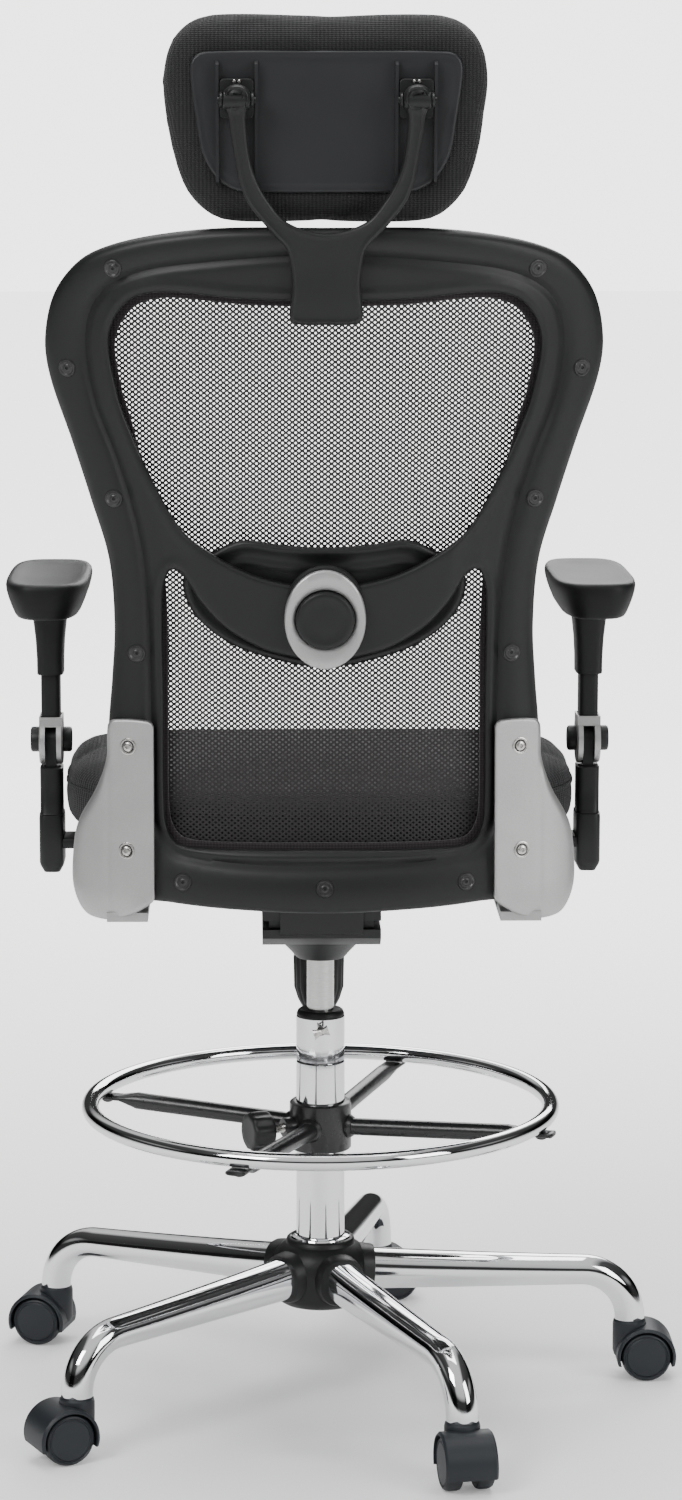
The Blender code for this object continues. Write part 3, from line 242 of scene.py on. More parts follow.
def swept(path, sections):
    """Rings that follow a path, each section a ring of (sideways, upwards) pairs."""
    rings = []
    upright = Vector((0.0, 0.0, 1.0))
    for index, point in enumerate(path):
        before = path[max(index - 1, 0)]
        after = path[min(index + 1, len(path) - 1)]
        along = (Vector(after) - Vector(before)).normalized()
        if index == 0:
            side = along.cross(upright)
            side = side.normalized() if side.length > 0.01 else Vector((1.0, 0.0, 0.0))
        side = (side - along * side.dot(along)).normalized()
        lift = side.cross(along)
        rings.append([Vector(point) + side * a + lift * u for a, u in sections[index]])
    return rings


def moved(parts, matrix):
    points, faces = parts
    return [matrix @ Vector(point) for point in points], faces


def joined(*parts):
    """Several sets of points and faces as one."""
    points, faces = [], []
    for more_points, more_faces in parts:
        start = len(points)
        points += list(more_points)
        faces += [tuple(start + index for index in face) for face in more_faces]
    return points, faces


def soften(piece, width, segments=2, angle=35.0):
    rounding = piece.modifiers.new("soft edges", "BEVEL")
    rounding.width = width
    rounding.segments = segments
    rounding.limit_method = "ANGLE"
    rounding.angle_limit = math.radians(angle)


def about_column(turn, height=0.0):
    """The frame of a piece laid out from the column's axis, turned about it."""
    return Matrix.Translation((AXIS_X, AXIS_Y, height)) @ Matrix.Rotation(turn, 4, "Z")


def leg_shape():
    path, sections = [], []
    bend_x = LEG_REACH - LEG_BEND
    bend_z = LEG_END_Z
    high = bend_z + LEG_BEND
    for step in range(13):
        share = step / 12.0
        path.append(Vector((0.036 + (bend_x - 0.036) * share, 0.0,
                            LEG_ROOT_Z + (high - LEG_ROOT_Z) * share ** 0.8)))
        swell = (1.0 - share) ** 1.1
        size = LEG_TUBE + (LEG_ROOT - LEG_TUBE) * swell
        sections.append(oval(size * (1.0 - 0.07 * swell), size, 2.0 + 0.5 * swell))
    for step in range(1, 15):
        turn = math.pi / 2.0 * (1.0 - step / 14.0)
        path.append(Vector((bend_x + LEG_BEND * math.cos(turn), 0.0,
                            bend_z + LEG_BEND * math.sin(turn))))
        sections.append(oval(LEG_TUBE, LEG_TUBE))
    # the cut end: a broken edge, then the inside of the tube's wall
    end = path[-1].copy()
    path.append(end + Vector((0.0, 0.0, -0.0006)))
    sections.append(oval(LEG_TUBE * 0.97, LEG_TUBE * 0.97))
    rings = swept(path, sections)
    rim = [point - path[-1] for point in rings[-1]]
    for shrink, rise in ((0.93, -0.0006), (0.91, 0.002), (0.91, 0.012)):
        rings.append([end + offset * shrink / 0.97 + Vector((0.0, 0.0, rise)) for offset in rim])
    return loft(rings)


def turned(profile, matrix=Matrix.Identity(4), sides=48):
    """A turned shape: (radius, height) pairs round a closed profile that may touch the axis."""
    open_ends = profile[0][0] < 1e-6 and profile[-1][0] < 1e-6
    rings = []
    for radius, height in profile:
        rings.append([(radius * math.cos(math.tau * side / sides),
                       radius * math.sin(math.tau * side / sides), height) for side in range(sides)])
    return moved(loft(rings, closed=not open_ends), matrix)


chrome = chrome_plate()
for number in range(5):
    turn = LEG_TURN + math.tau * number / 5.0
    leg = show(f"leg_{number + 1}", *moved(leg_shape(), about_column(turn)), chrome)
    place(leg, "base", "chrome", f"base_leg_{number + 1}")


# ---------------------------------------------------------------- hub
# A glass-filled nylon moulding pressed over the welded leg roots, with a cuff round every leg.
HUB_RADIUS = 0.0505
HUB_LOW = 0.095
HUB_HIGH = 0.164


def moulded(name, color, roughness, grain=0.00005, sheen=0.35):
    """Spark-eroded moulding: fine grain, with slow changes of colour and gloss."""
    made = Finish(name)
    cloud = made.noise(9.0, 3.0)
    speck = made.noise(1400.0, 1.0)
    light = tuple(channel * 1.35 for channel in color)
    made.set(Base_Color=made.blend(cloud, color, light), Specular_IOR_Level=sheen)
    made.set(Roughness=roughness + 0.10 * (cloud - 0.5) + 0.05 * speck)
    made.bump(speck + 0.35 * made.noise(420.0), grain)
    return made.material


black_plastic = moulded("black_moulding", (0.0085, 0.0089, 0.0090), 0.42, 0.00005, 0.36)
hub_profile = [(0.0255, HUB_HIGH), (0.0330, HUB_HIGH), (0.0350, HUB_HIGH - 0.0015),
               (0.0362, HUB_HIGH - 0.0060), (0.0420, HUB_HIGH - 0.0100), (0.0470, HUB_HIGH - 0.0165),
               (0.0498, HUB_HIGH - 0.0250), (HUB_RADIUS, HUB_HIGH - 0.0350),
               (0.0500, HUB_LOW + 0.0170), (0.0480, HUB_LOW + 0.0080), (0.0440, HUB_LOW + 0.0025),
               (0.0400, HUB_LOW), (0.0255, HUB_LOW)]
hub_parts = [turned(hub_profile, about_column(0.0), 64)]
for number in range(5):
    cuff_path = [Vector((reach, 0.0, LEG_ROOT_Z - 0.001 - 0.05 * (reach - 0.04)))
                 for reach in (0.038, 0.0525, 0.0545, 0.0550)]
    cuff_rings = swept(cuff_path, [oval(LEG_ROOT + extra, LEG_ROOT + extra, 2.3)
                                   for extra in (0.0050, 0.0036, 0.0026, 0.0004)])
    hub_parts.append(moved(loft(cuff_rings), about_column(LEG_TURN + math.tau * number / 5.0)))
hub = show("hub", *joined(*hub_parts), black_plastic, 40.0)
place(hub, "base", "black_plastic", "base_hub")


# ---------------------------------------------------------------- casters
# Twin-wheel nylon casters. A hood with a stem collar covers the tops of two wheels that share an axle.
WHEEL = 0.0265
WHEEL_IN = 0.0075
WHEEL_OUT = 0.0255
TRAIL = 0.0165
CASTER_TURNS = (-80.0, 0.0, 20.0, 165.0, 205.0)
HOOD = 0.0311


def carved(base, cutters, unions=()):
    """A mesh after exact unions and cuts, as points and faces. The tools are removed."""
    for other, operation in [(o, "UNION") for o in unions] + [(o, "DIFFERENCE") for o in cutters]:
        step = base.modifiers.new(operation, "BOOLEAN")
        step.operation = operation
        step.object = other
    graph = bpy.context.evaluated_depsgraph_get()
    data = bpy.data.meshes.new_from_object(base.evaluated_get(graph))
    points = [vert.co.copy() for vert in data.vertices]
    faces = [tuple(face.vertices) for face in data.polygons]
    for tool in (base, *cutters, *unions):
        bpy.data.objects.remove(tool, do_unlink=True)
    return points, faces


def cross_bar(radius, start, end, matrix, sides=64, edge=0.0):
    """A round bar along local Y."""
    profile = [(0.0, start), (radius - edge, start), (radius, start + edge), (radius, end - edge),
               (radius - edge, end), (0.0, end)]
    if edge == 0.0:
        profile = [(0.0, start), (radius, start), (radius, end), (0.0, end)]
    return turned(profile, matrix @ Matrix.Rotation(-math.pi / 2.0, 4, "X"), sides)


def block(low, high):
    x0, y0, z0 = low
    x1, y1, z1 = high
    rings = [[(x0, y0, z), (x1, y0, z), (x1, y1, z), (x0, y1, z)] for z in (z0, z1)]
    return loft(rings)


axle = Matrix.Translation((TRAIL, 0.0, WHEEL))
hood_drum = show("drum", *cross_bar(HOOD, -WHEEL_OUT - 0.0006, WHEEL_OUT + 0.0006, axle, 72, 0.0022),
                 black_plastic)
hood_collar = show("collar", *turned([(0.0, 0.024), (0.0160, 0.024), (0.0176, 0.029), (0.0178, 0.058),
                                      (0.0170, 0.0612), (0.0158, 0.0622), (0.0150, 0.0634),
                                      (0.0, 0.0634)], sides=64), black_plastic)
hood_cuts = [show("room", *cross_bar(WHEEL + 0.0013, 0.0064, 0.04, axle, 72), black_plastic),
             show("room", *cross_bar(WHEEL + 0.0013, -0.04, -0.0064, axle, 72), black_plastic),
             show("room", *block((-0.05, -0.05, -0.02), (0.08, 0.05, 0.0172)), black_plastic)]
hood_shape = carved(hood_drum, hood_cuts, [hood_collar])

wheel_side = [(0.0, WHEEL_OUT - 0.0006), (0.0060, WHEEL_OUT - 0.0008), (0.0200, WHEEL_OUT - 0.0012),
              (0.0212, WHEEL_OUT - 0.0022), (0.0220, WHEEL_OUT - 0.0022), (0.0230, WHEEL_OUT - 0.0010),
              (0.0245, WHEEL_OUT - 0.0018), (0.0258, WHEEL_OUT - 0.0040), (WHEEL, WHEEL_OUT - 0.0070),
              (WHEEL, WHEEL_IN + 0.0040), (0.0255, WHEEL_IN + 0.0010), (0.0240, WHEEL_IN),
              (0.0045, WHEEL_IN)]
wheel_profile = wheel_side + [(radius, -height) for radius, height in reversed(wheel_side)]
slate_plastic = moulded("slate_moulding", (0.0125, 0.0150, 0.0185), 0.44, 0.00004, 0.4)
for number in range(5):
    leg_turn = LEG_TURN + math.tau * number / 5.0
    stem = about_column(leg_turn) @ Vector((LEG_REACH, 0.0, 0.0))
    swivel = Matrix.Translation(stem) @ Matrix.Rotation(math.radians(CASTER_TURNS[number]), 4, "Z")
    hood = show(f"hood_{number + 1}", *moved(hood_shape, swivel), slate_plastic, 30.0)
    soften(hood, 0.0007, 2, 40.0)
    place(hood, f"caster_{number + 1}", "slate_plastic", f"caster_hood_{number + 1}")
    across = swivel @ axle @ Matrix.Rotation(-math.pi / 2.0, 4, "X")
    wheels = show(f"wheels_{number + 1}", *turned(wheel_profile, across, 56), slate_plastic, 30.0)
    place(wheels, f"wheels_{number + 1}", "slate_plastic", f"caster_wheels_{number + 1}")


def zinc_plate():
    plate = Finish("bright_zinc", Metallic=1.0)
    cloud = plate.noise(120.0, 3.0)
    plate.set(Base_Color=plate.blend(cloud, (0.52, 0.51, 0.49), (0.72, 0.71, 0.69)))
    plate.set(Roughness=0.20 + 0.14 * cloud)
    return plate.material


bright_steel = zinc_plate()
socket_parts = []
for number in range(5):
    stem = about_column(LEG_TURN + math.tau * number / 5.0) @ Vector((LEG_REACH, 0.0, 0.0))
    socket_parts.append(turned([(0.0062, 0.0636), (0.0132, 0.0636), (0.0140, 0.0646), (0.0140, 0.072),
                                (0.0062, 0.072)], Matrix.Translation(stem), 32))
sockets = show("stem_sockets", *joined(*socket_parts), bright_steel)
place(sockets, "base", "bright_steel")


# ---------------------------------------------------------------- column, collar and gas lift
# A plated tube stands in the hub. A loose plated collar sits on it under the bush's flange, held by a
# small wing screw, and the ground gas cylinder slides through the bush.
COLUMN = 0.0250
COLUMN_LOW = 0.097
COLUMN_HIGH = 0.352
COLLAR_HIGH = 0.400
FLANGE_HIGH = 0.4063
CYLINDER = 0.0140

column_profile = [(0.0225, COLUMN_HIGH - 0.004), (0.0232, COLUMN_HIGH), (0.0240, COLUMN_HIGH),
                  (COLUMN, COLUMN_HIGH - 0.0012), (COLUMN, COLUMN_LOW), (0.0225, COLUMN_LOW)]
column = show("column", *turned(column_profile, about_column(0.0), 72), chrome)
place(column, "base", "chrome", "column_tube")
foot_profile = [(0.0252, HUB_HIGH + 0.0002), (0.0312, HUB_HIGH + 0.0002), (0.0304, HUB_HIGH + 0.0016),
                (0.0272, HUB_HIGH + 0.0030), (0.0252, HUB_HIGH + 0.0030)]
foot = show("column_foot", *turned(foot_profile, about_column(0.0), 72), chrome)
place(foot, "base", "chrome")
collar_profile = [(0.0225, COLUMN_HIGH + 0.0003), (0.0240, COLUMN_HIGH + 0.0003),
                  (COLUMN, COLUMN_HIGH + 0.0013), (COLUMN, COLLAR_HIGH - 0.0012),
                  (0.0240, COLLAR_HIGH), (0.0225, COLLAR_HIGH)]
collar = show("collar", *turned(collar_profile, about_column(0.0), 72), chrome)
place(collar, "base", "chrome", "column_collar")

bush_profile = [(0.0143, FLANGE_HIGH), (0.0215, FLANGE_HIGH), (0.0232, FLANGE_HIGH - 0.0012),
                (0.0246, COLLAR_HIGH + 0.0020), (0.0246, COLLAR_HIGH + 0.0003),
                (0.0222, COLLAR_HIGH + 0.0003), (0.0222, COLLAR_HIGH - 0.06),
                (0.0143, COLLAR_HIGH - 0.06)]
bush = show("bush", *turned(bush_profile, about_column(0.0), 64), black_plastic)
place(bush, "base", "black_plastic", "column_bush")


def ground_steel():
    """Centreless-ground steel: bright, with fine rings round the bar."""
    made = Finish("ground_steel", Metallic=1.0)
    _, _, height = made.axes()
    rings = made.node("ShaderNodeTexNoise", {"W": height * 900.0, "Scale": 1.0, "Detail": 2.0},
                      noise_dimensions="1D")
    made.set(Base_Color=made.blend(rings, (0.58, 0.58, 0.57), (0.72, 0.72, 0.71)))
    made.set(Roughness=0.20 + 0.12 * rings)
    return made.material


lift_low, lift_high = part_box("gas_cylinder")
lift_profile = [(0.0, lift_low.z), (0.0128, lift_low.z), (CYLINDER, lift_low.z + 0.0012),
                (CYLINDER, lift_high.z - 0.045), (0.0127, lift_high.z - 0.001),
                (0.0120, lift_high.z), (0.0, lift_high.z)]
lift = show("gas_lift", *turned(lift_profile, about_column(0.0), 56), ground_steel())
place(lift, "lift", "chrome", "gas_cylinder")

rod_low, rod_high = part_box("piston_rod")
rod_profile = [(0.0, rod_low.z), (0.0050, rod_low.z), (0.0050, rod_high.z - 0.012),
               (0.0112, rod_high.z - 0.012), (0.0112, rod_high.z), (0.0, rod_high.z)]
rod = show("piston", *turned(rod_profile, about_column(0.0), 32), bright_steel)
place(rod, "gas_rod", "bright_steel", "piston_rod")

# wing screw: a stamped wing on a threaded shank, facing the rear of the chair
screw_z = COLLAR_HIGH - 0.010
screw_root = Matrix.Translation((AXIS_X, AXIS_Y, screw_z)) @ Matrix.Rotation(math.pi / 2.0, 4, "X")
shank_profile = [(0.0, 0.0234)]
for thread in range(7):
    shank_profile += [(0.0021, 0.0235 + 0.0014 * thread), (0.0025, 0.0242 + 0.0014 * thread)]
shank_profile += [(0.0046, 0.0334), (0.0046, 0.0368), (0.0032, 0.0385), (0.0, 0.0388)]
wing_rings = []
for share in range(9):
    across = -0.0078 + 0.0156 * share / 8.0
    flare = 0.0030 + 0.0026 * abs(across / 0.0078) ** 1.5
    wing_rings.append([(across, up, 0.0385 + 0.0030 * abs(across / 0.0078) + depth)
                       for up, depth in oval(flare, 0.0013, 2.4, 16)])
wing = show("wing_screw", *moved(joined(turned(shank_profile, sides=24), loft(wing_rings)),
                                 screw_root @ Matrix.Rotation(math.radians(18.0), 4, "Z")),
            bright_steel)
place(wing, "collar_screw", "bright_steel", "collar_screw")


# ---------------------------------------------------------------- foot ring
# A plated steel hoop on four painted spokes. Their flattened ends are riveted under the hoop, and the
# sleeve they are welded to is clamped on the column by a fluted hand screw.
RING_Z = 0.3055
RING_REACH = 0.2386
RING_TUBE = 0.0087
SPOKE_TURN = math.radians(-20.5)
CLAMP_TURN = math.radians(205.0)
CLAMP_Z = RING_Z - 0.0215
CLAMP_LOBES = 9
THREAD_PITCH = 0.0014

ring_frame = about_column(0.0, RING_Z)
ring_rings = []
for step in range(144):
    turn = math.tau * step / 144.0
    ring_rings.append([((RING_REACH + a) * math.cos(turn), (RING_REACH + a) * math.sin(turn), u)
                       for a, u in oval(RING_TUBE, RING_TUBE, 2.0, 20)])
hoop = show("foot_hoop", *moved(loft(ring_rings, closed=True), ring_frame), chrome)
place(hoop, "foot_ring", "chrome", "foot_ring")


def gloss_paint():
    """Black powder coat: smoother than the mouldings, with a faint orange peel."""
    made = Finish("black_paint", Specular_IOR_Level=0.5)
    peel = made.noise(260.0, 2.0)
    made.set(Base_Color=made.blend(peel, (0.010, 0.010, 0.011), (0.016, 0.016, 0.017)))
    made.set(Roughness=0.24 + 0.10 * peel)
    made.bump(peel, 0.00012)
    return made.material


black_paint = gloss_paint()
sleeve_profile = [(0.0253, RING_Z + 0.0035), (0.0300, RING_Z + 0.0035), (0.0318, RING_Z + 0.0020),
                  (0.0320, RING_Z - 0.0010), (0.0320, RING_Z - 0.0450), (0.0308, RING_Z - 0.0465),
                  (0.0253, RING_Z - 0.0465)]
spider_parts = [turned(sleeve_profile, about_column(0.0), 64)]
for number in range(4):
    path, sections = [], []
    for step in range(25):
        share = step / 24.0
        reach = 0.0290 + (RING_REACH + 0.0120 - 0.0290) * share
        flat = min(max((reach - 0.205) / 0.018, 0.0), 1.0)
        flat = flat * flat * (3.0 - 2.0 * flat)
        height = (-0.0220 + 0.0085 * min(share / 0.85, 1.0)) * (1.0 - flat) + flat * -0.0120
        path.append(Vector((reach, 0.0, height)))
        sections.append(oval(0.0090 + 0.0015 * flat, 0.0090 - 0.0062 * flat, 2.0 + flat, 24))
    path.append(path[-1] + Vector((0.0012, 0.0, 0.0)))
    sections.append(oval(0.0085, 0.0020, 3.0, 24))
    spoke = loft(swept(path, sections))
    weld = turned([(0.0, -0.004), (0.0118, -0.003), (0.0125, 0.001), (0.0102, 0.0045), (0.0, 0.006)],
                  Matrix.Translation((0.0315, 0.0, -0.0218)) @ Matrix.Rotation(math.pi / 2, 4, "Y"), 24)
    turn = about_column(SPOKE_TURN + math.tau * number / 4.0, RING_Z)
    spider_parts += [moved(spoke, turn), moved(weld, turn)]
boss = turned([(0.0055, 0.030), (0.0104, 0.030), (0.0104, 0.0415), (0.0096, 0.0430), (0.0055, 0.0430)],
              Matrix.Rotation(math.pi / 2.0, 4, "Y"), 32)
spider_parts.append(moved(boss, about_column(CLAMP_TURN, CLAMP_Z)))
spider = show("spokes", *joined(*spider_parts), black_paint, 40.0)
place(spider, "foot_ring", "black_plastic", "foot_ring_spider")


def repeated(name, shape, spots, paint):
    """One shape at many spots by geometry nodes: each spot is (place, direction of the shape's +Z)."""
    stamp = show(name + "_stamp", *shape, black_plastic)
    stamp.data.materials.clear()
    data = bpy.data.meshes.new(name)
    data.from_pydata([tuple(spot) for spot, _ in spots], [], [])
    lay = data.attributes.new("facing", "FLOAT_VECTOR", "POINT")
    lay.data.foreach_set("vector", [value for _, way in spots for value in way])
    cloud = bpy.data.objects.new(name + "_spots", data)
    bpy.context.scene.collection.objects.link(cloud)
    group = bpy.data.node_groups.new(name, "GeometryNodeTree")
    for label, kind, way in (("Spots", "NodeSocketGeometry", "INPUT"),
                             ("Shape", "NodeSocketObject", "INPUT"),
                             ("Finish", "NodeSocketMaterial", "INPUT"),
                             ("Size", "NodeSocketFloat", "INPUT"),
                             ("Geometry", "NodeSocketGeometry", "OUTPUT")):
        group.interface.new_socket(label, in_out=way, socket_type=kind)
    tree = Nodes(group)
    entry = group.nodes.new("NodeGroupInput")
    given = {out.name: Wire(group, out) for out in entry.outputs if out.name}
    facing = tree.node("GeometryNodeInputNamedAttribute", {"Name": "facing"}, data_type="FLOAT_VECTOR")
    turn = tree.node("FunctionNodeAlignEulerToVector", {"Vector": facing}, axis="Z")
    shape_in = tree.node("GeometryNodeObjectInfo", {"Object": given["Shape"]}, output="Geometry")
    laid = tree.node("GeometryNodeInstanceOnPoints", {"Points": given["Spots"], "Instance": shape_in,
                                                      "Rotation": turn, "Scale": given["Size"]})
    real = tree.node("GeometryNodeRealizeInstances", {"Geometry": laid})
    dressed = tree.node("GeometryNodeSetMaterial", {"Geometry": real, "Material": given["Finish"]})
    feed(group, group.nodes.new("NodeGroupOutput").inputs[0], dressed)
    return baked(name, stamp, cloud, group, {"Shape": stamp, "Finish": paint, "Size": 1.0})


def baked(name, stamp, cloud, group, inputs, smooth=35.0):
    """The tree's result as a plain mesh. Its stamp, spots and modifier are removed."""
    step = cloud.modifiers.new("repeat", "NODES")
    step.node_group = group
    for item in group.interface.items_tree:
        if item.name in inputs:
            step[item.identifier] = inputs[item.name]
    bpy.context.view_layer.update()
    graph = bpy.context.evaluated_depsgraph_get()
    data = bpy.data.meshes.new_from_object(cloud.evaluated_get(graph))
    data.name = name
    cloud.modifiers.remove(step)
    piece = bpy.data.objects.new(name, data)
    bpy.context.scene.collection.objects.link(piece)
    for used in (stamp, cloud):
        bpy.data.objects.remove(used, do_unlink=True)
    data.shade_smooth()
    data.set_sharp_from_angle(angle=math.radians(smooth))
    return piece


rivet = turned([(0.0, 0.0), (0.0062, 0.0), (0.0062, 0.0010), (0.0050, 0.0026), (0.0026, 0.0036),
                (0.0, 0.0038)], sides=20)
rivet_spots = []
for number in range(4):
    under = about_column(SPOKE_TURN + math.tau * number / 4.0, RING_Z - 0.0145)
    rivet_spots.append((under @ Vector((RING_REACH, 0.0, 0.0)), (0.0, 0.0, -1.0)))
rivets = repeated("spoke_rivets", rivet, rivet_spots, black_paint)
place(rivets, "foot_ring", "black_plastic")

knob_rings = []
for height, radius, flute in ((0.0580, 0.0090, 0.0), (0.0584, 0.0168, 0.0), (0.0600, 0.0190, 0.0006),
                              (0.0625, 0.0203, 0.0016), (0.0700, 0.0208, 0.0020),
                              (0.0780, 0.0206, 0.0020), (0.0812, 0.0196, 0.0012),
                              (0.0826, 0.0170, 0.0), (0.0822, 0.0120, 0.0)):
    ring = []
    for side in range(72):
        turn = math.tau * side / 72.0
        reach = radius - flute * (0.5 + 0.5 * math.cos(CLAMP_LOBES * turn))
        ring.append((reach * math.cos(turn), reach * math.sin(turn), height))
    knob_rings.append(ring)
clamp_frame = about_column(CLAMP_TURN, CLAMP_Z) @ Matrix.Rotation(math.pi / 2.0, 4, "Y")
clamp_knob = show("clamp_knob", *moved(loft(knob_rings), clamp_frame), black_plastic, 50.0)
place(clamp_knob, "foot_ring_knob", "black_plastic", "foot_ring_knob")
clamp_profile = [(0.0, 0.0256)]
for thread in range(23):
    clamp_profile += [(0.0043, 0.0258 + THREAD_PITCH * thread), (0.0049, 0.0265 + THREAD_PITCH * thread)]
clamp_profile += [(0.0074, 0.0580), (0.0074, 0.0596), (0.0, 0.0596)]
clamp_screw = show("clamp_screw", *moved(turned(clamp_profile, sides=24), clamp_frame), bright_steel)
place(clamp_screw, "foot_ring_knob", "bright_steel")


# ---------------------------------------------------------------- tilt mechanism
# A cast box on the gas lift's cone, enamelled black. Its wings run under the seat plate, the tower at
# its front holds the tilt spring, and the knob below winds the spring up.
PAN_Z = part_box("seat_pan")[0].z
TILT_SPOT = (0.060, -0.030)
TOWER_Y = 0.095
SEAT_CENTRE = Matrix.Translation((AXIS_X, AXIS_Y, PAN_Z))


def prism(outline, start, end, axis="X"):
    """An outline drawn out along an axis; its pairs are the other two axes in order."""
    rings = []
    for along in (start, end):
        if axis == "X":
            rings.append([(along, a, b) for a, b in outline])
        elif axis == "Y":
            rings.append([(a, along, b) for a, b in outline])
        else:
            rings.append([(a, b, along) for a, b in outline])
    return loft(rings)


wing_side = [(-0.078, -0.070), (-0.078, -0.045), (0.052, -0.0095), (0.125, -0.0095), (0.125, -0.070)]
skirt_side = [(-0.078, -0.088), (-0.078, -0.079), (0.125, -0.079), (0.108, -0.098), (-0.060, -0.098)]
housing_base = show("housing_base", *prism(wing_side, -0.060, 0.060), black_plastic)
housing_more = [
    show("more", *prism([(-0.072, -0.090), (-0.072, -0.060), (0.119, -0.060), (0.119, -0.088)],
                        -0.053, 0.053), black_plastic),
    show("more", *prism(skirt_side, -0.060, 0.060), black_plastic),
    show("more", *prism([(-0.0810, -0.083), (-0.0810, -0.055), (-0.070, -0.050), (-0.070, -0.090)],
                        -0.042, 0.042), black_plastic),
    show("more", *turned([(0.0, -0.1225), (0.0245, -0.1225), (0.0262, -0.1210), (0.0300, -0.1165),
                          (0.0420, -0.1040), (0.0490, -0.0985), (0.0505, -0.0950), (0.0, -0.0950)],
                         sides=64), black_plastic),
    show("more", *turned([(0.0, -0.1370), (0.0215, -0.1370), (0.0228, -0.1355), (0.0236, -0.0900),
                          (0.0, -0.0900)], Matrix.Translation((0.0, TOWER_Y, 0.0)), 48), black_plastic),
]
housing_cuts = [show("room", *block((side * 0.0555 - 0.006, -0.060 + 0.036 * step, -0.078),
                                    (side * 0.0555 + 0.006, -0.030 + 0.036 * step, -0.062)),
                     black_plastic) for side in (-1.0, 1.0) for step in range(5)]
housing_shape = carved(housing_base, housing_cuts, housing_more)
cast_black = moulded("cast_enamel", (0.017, 0.0175, 0.018), 0.40, 0.00016, 0.5)
housing = show("mechanism_housing", *moved(housing_shape, SEAT_CENTRE), cast_black, 30.0)
soften(housing, 0.0014, 2, 40.0)
place(housing, "lift", "black_plastic", "mechanism_housing")

pin_profile = [(0.0, -0.0648), (0.0052, -0.0648), (0.0060, -0.0640), (0.0060, -0.0634), (0.0050, -0.0632),
               (0.0050, -0.0628), (0.0060, -0.0626), (0.0060, 0.0626), (0.0050, 0.0628),
               (0.0050, 0.0632), (0.0060, 0.0634), (0.0060, 0.0640), (0.0052, 0.0648), (0.0, 0.0648)]
pin_matrix = SEAT_CENTRE @ Matrix.Translation((0.0, *TILT_SPOT)) @ Matrix.Rotation(math.pi / 2.0, 4, "Y")
tilt_pin = show("tilt_pin", *turned(pin_profile, pin_matrix, 32), bright_steel)
place(tilt_pin, "lift", "bright_steel", "tilt_pin")


def fluted(rows, flutes, depth, sides=160):
    """A knob with grip flutes: rows of (radius, height, share of the flutes' depth)."""
    rings = []
    for radius, height, share in rows:
        ring = []
        for side in range(sides):
            turn = math.tau * side / sides
            wave = (0.5 + 0.5 * math.cos(flutes * turn)) ** 2
            reach = radius * (1.0 - depth * share * wave)
            ring.append((reach * math.cos(turn), reach * math.sin(turn), height))
        rings.append(ring)
    return loft(rings)


knob_rows = [(0.0040, -0.1210, 0.0), (0.0050, -0.1205, 0.0), (0.0050, -0.1385, 0.0), (0.0235, -0.1387, 0.0),
             (0.0260, -0.1398, 0.3), (0.0270, -0.1430, 1.0), (0.0264, -0.1740, 1.0), (0.0225, -0.1865, 1.0),
             (0.0190, -0.1935, 0.7), (0.0172, -0.1962, 0.1), (0.0120, -0.1964, 0.0)]
tension = show("tension_knob", *moved(fluted(knob_rows, 20, 0.075),
                                      SEAT_CENTRE @ Matrix.Translation((0.0, TOWER_Y, 0.0))),
               black_plastic, 40.0)
place(tension, "tension_knob", "black_plastic", "tension_knob")


def curve_along(knots, count):
    """A smooth open curve through a few points."""
    knots = [Vector(knot) for knot in knots]
    ends = [2.0 * knots[0] - knots[1], *knots, 2.0 * knots[-1] - knots[-2]]
    made = []
    for a, b, c, d in zip(ends, ends[1:], ends[2:], ends[3:]):
        for part in range(count):
            t = part / count
            made.append(0.5 * (2.0 * b + (c - a) * t + (2.0 * a - 5.0 * b + 4.0 * c - d) * t * t
                               + (3.0 * b - a - 3.0 * c + d) * t ** 3))
    return made + [knots[-1]]


def hand_lever(side):
    """Steel rod with a moulded paddle: one skin that widens and flattens toward the hand."""
    path = curve_along([(0.0612, -0.012, -0.0615), (0.0960, -0.012, -0.0612), (0.1310, 0.004, -0.0600),
                        (0.1710, 0.038, -0.0580), (0.1960, 0.0560, -0.0566), (0.2430, 0.0580, -0.0566)], 6)
    sections = []
    for spot in path:
        flat = min(max((spot.x - 0.178) / 0.020, 0.0), 1.0)
        flat = flat * flat * (3.0 - 2.0 * flat)
        tip = min(max((spot.x - 0.232) / 0.011, 0.0), 1.0)
        wide = (0.0045 + 0.0070 * flat) * math.sqrt(max(1.0 - 0.75 * tip * tip, 0.0))
        sections.append(oval(wide, 0.0045 - 0.0008 * flat - 0.0012 * tip, 2.0 + 1.2 * flat, 24))
    points, faces = loft(swept(path, sections))
    return [Vector((side * point.x, point.y, point.z)) for point in points], faces


for name, side in (("height_lever", 1.0), ("tilt_lock_lever", -1.0)):
    lever = show(name, *moved(hand_lever(side), SEAT_CENTRE), black_plastic, 50.0)
    place(lever, name, "black_plastic", name)


# ---------------------------------------------------------------- seat plate and pan
# A pressed steel plate hangs on the tilt pin by two cheeks. The moulded pan is screwed down on it and
# carries the cushion.
def round_corners(half_x, low_y, high_y, radius, steps=6):
    """A rectangle centred across X, with round corners, as pairs."""
    spots = []
    near_x, near_low, near_high = half_x - radius, low_y + radius, high_y - radius
    for cx, cy, start in ((near_x, near_high, 0.0), (-near_x, near_high, 90.0),
                          (-near_x, near_low, 180.0), (near_x, near_low, 270.0)):
        for step in range(steps + 1):
            turn = math.radians(start + 90.0 * step / steps)
            spots.append((cx + radius * math.cos(turn), cy + radius * math.sin(turn)))
    return spots


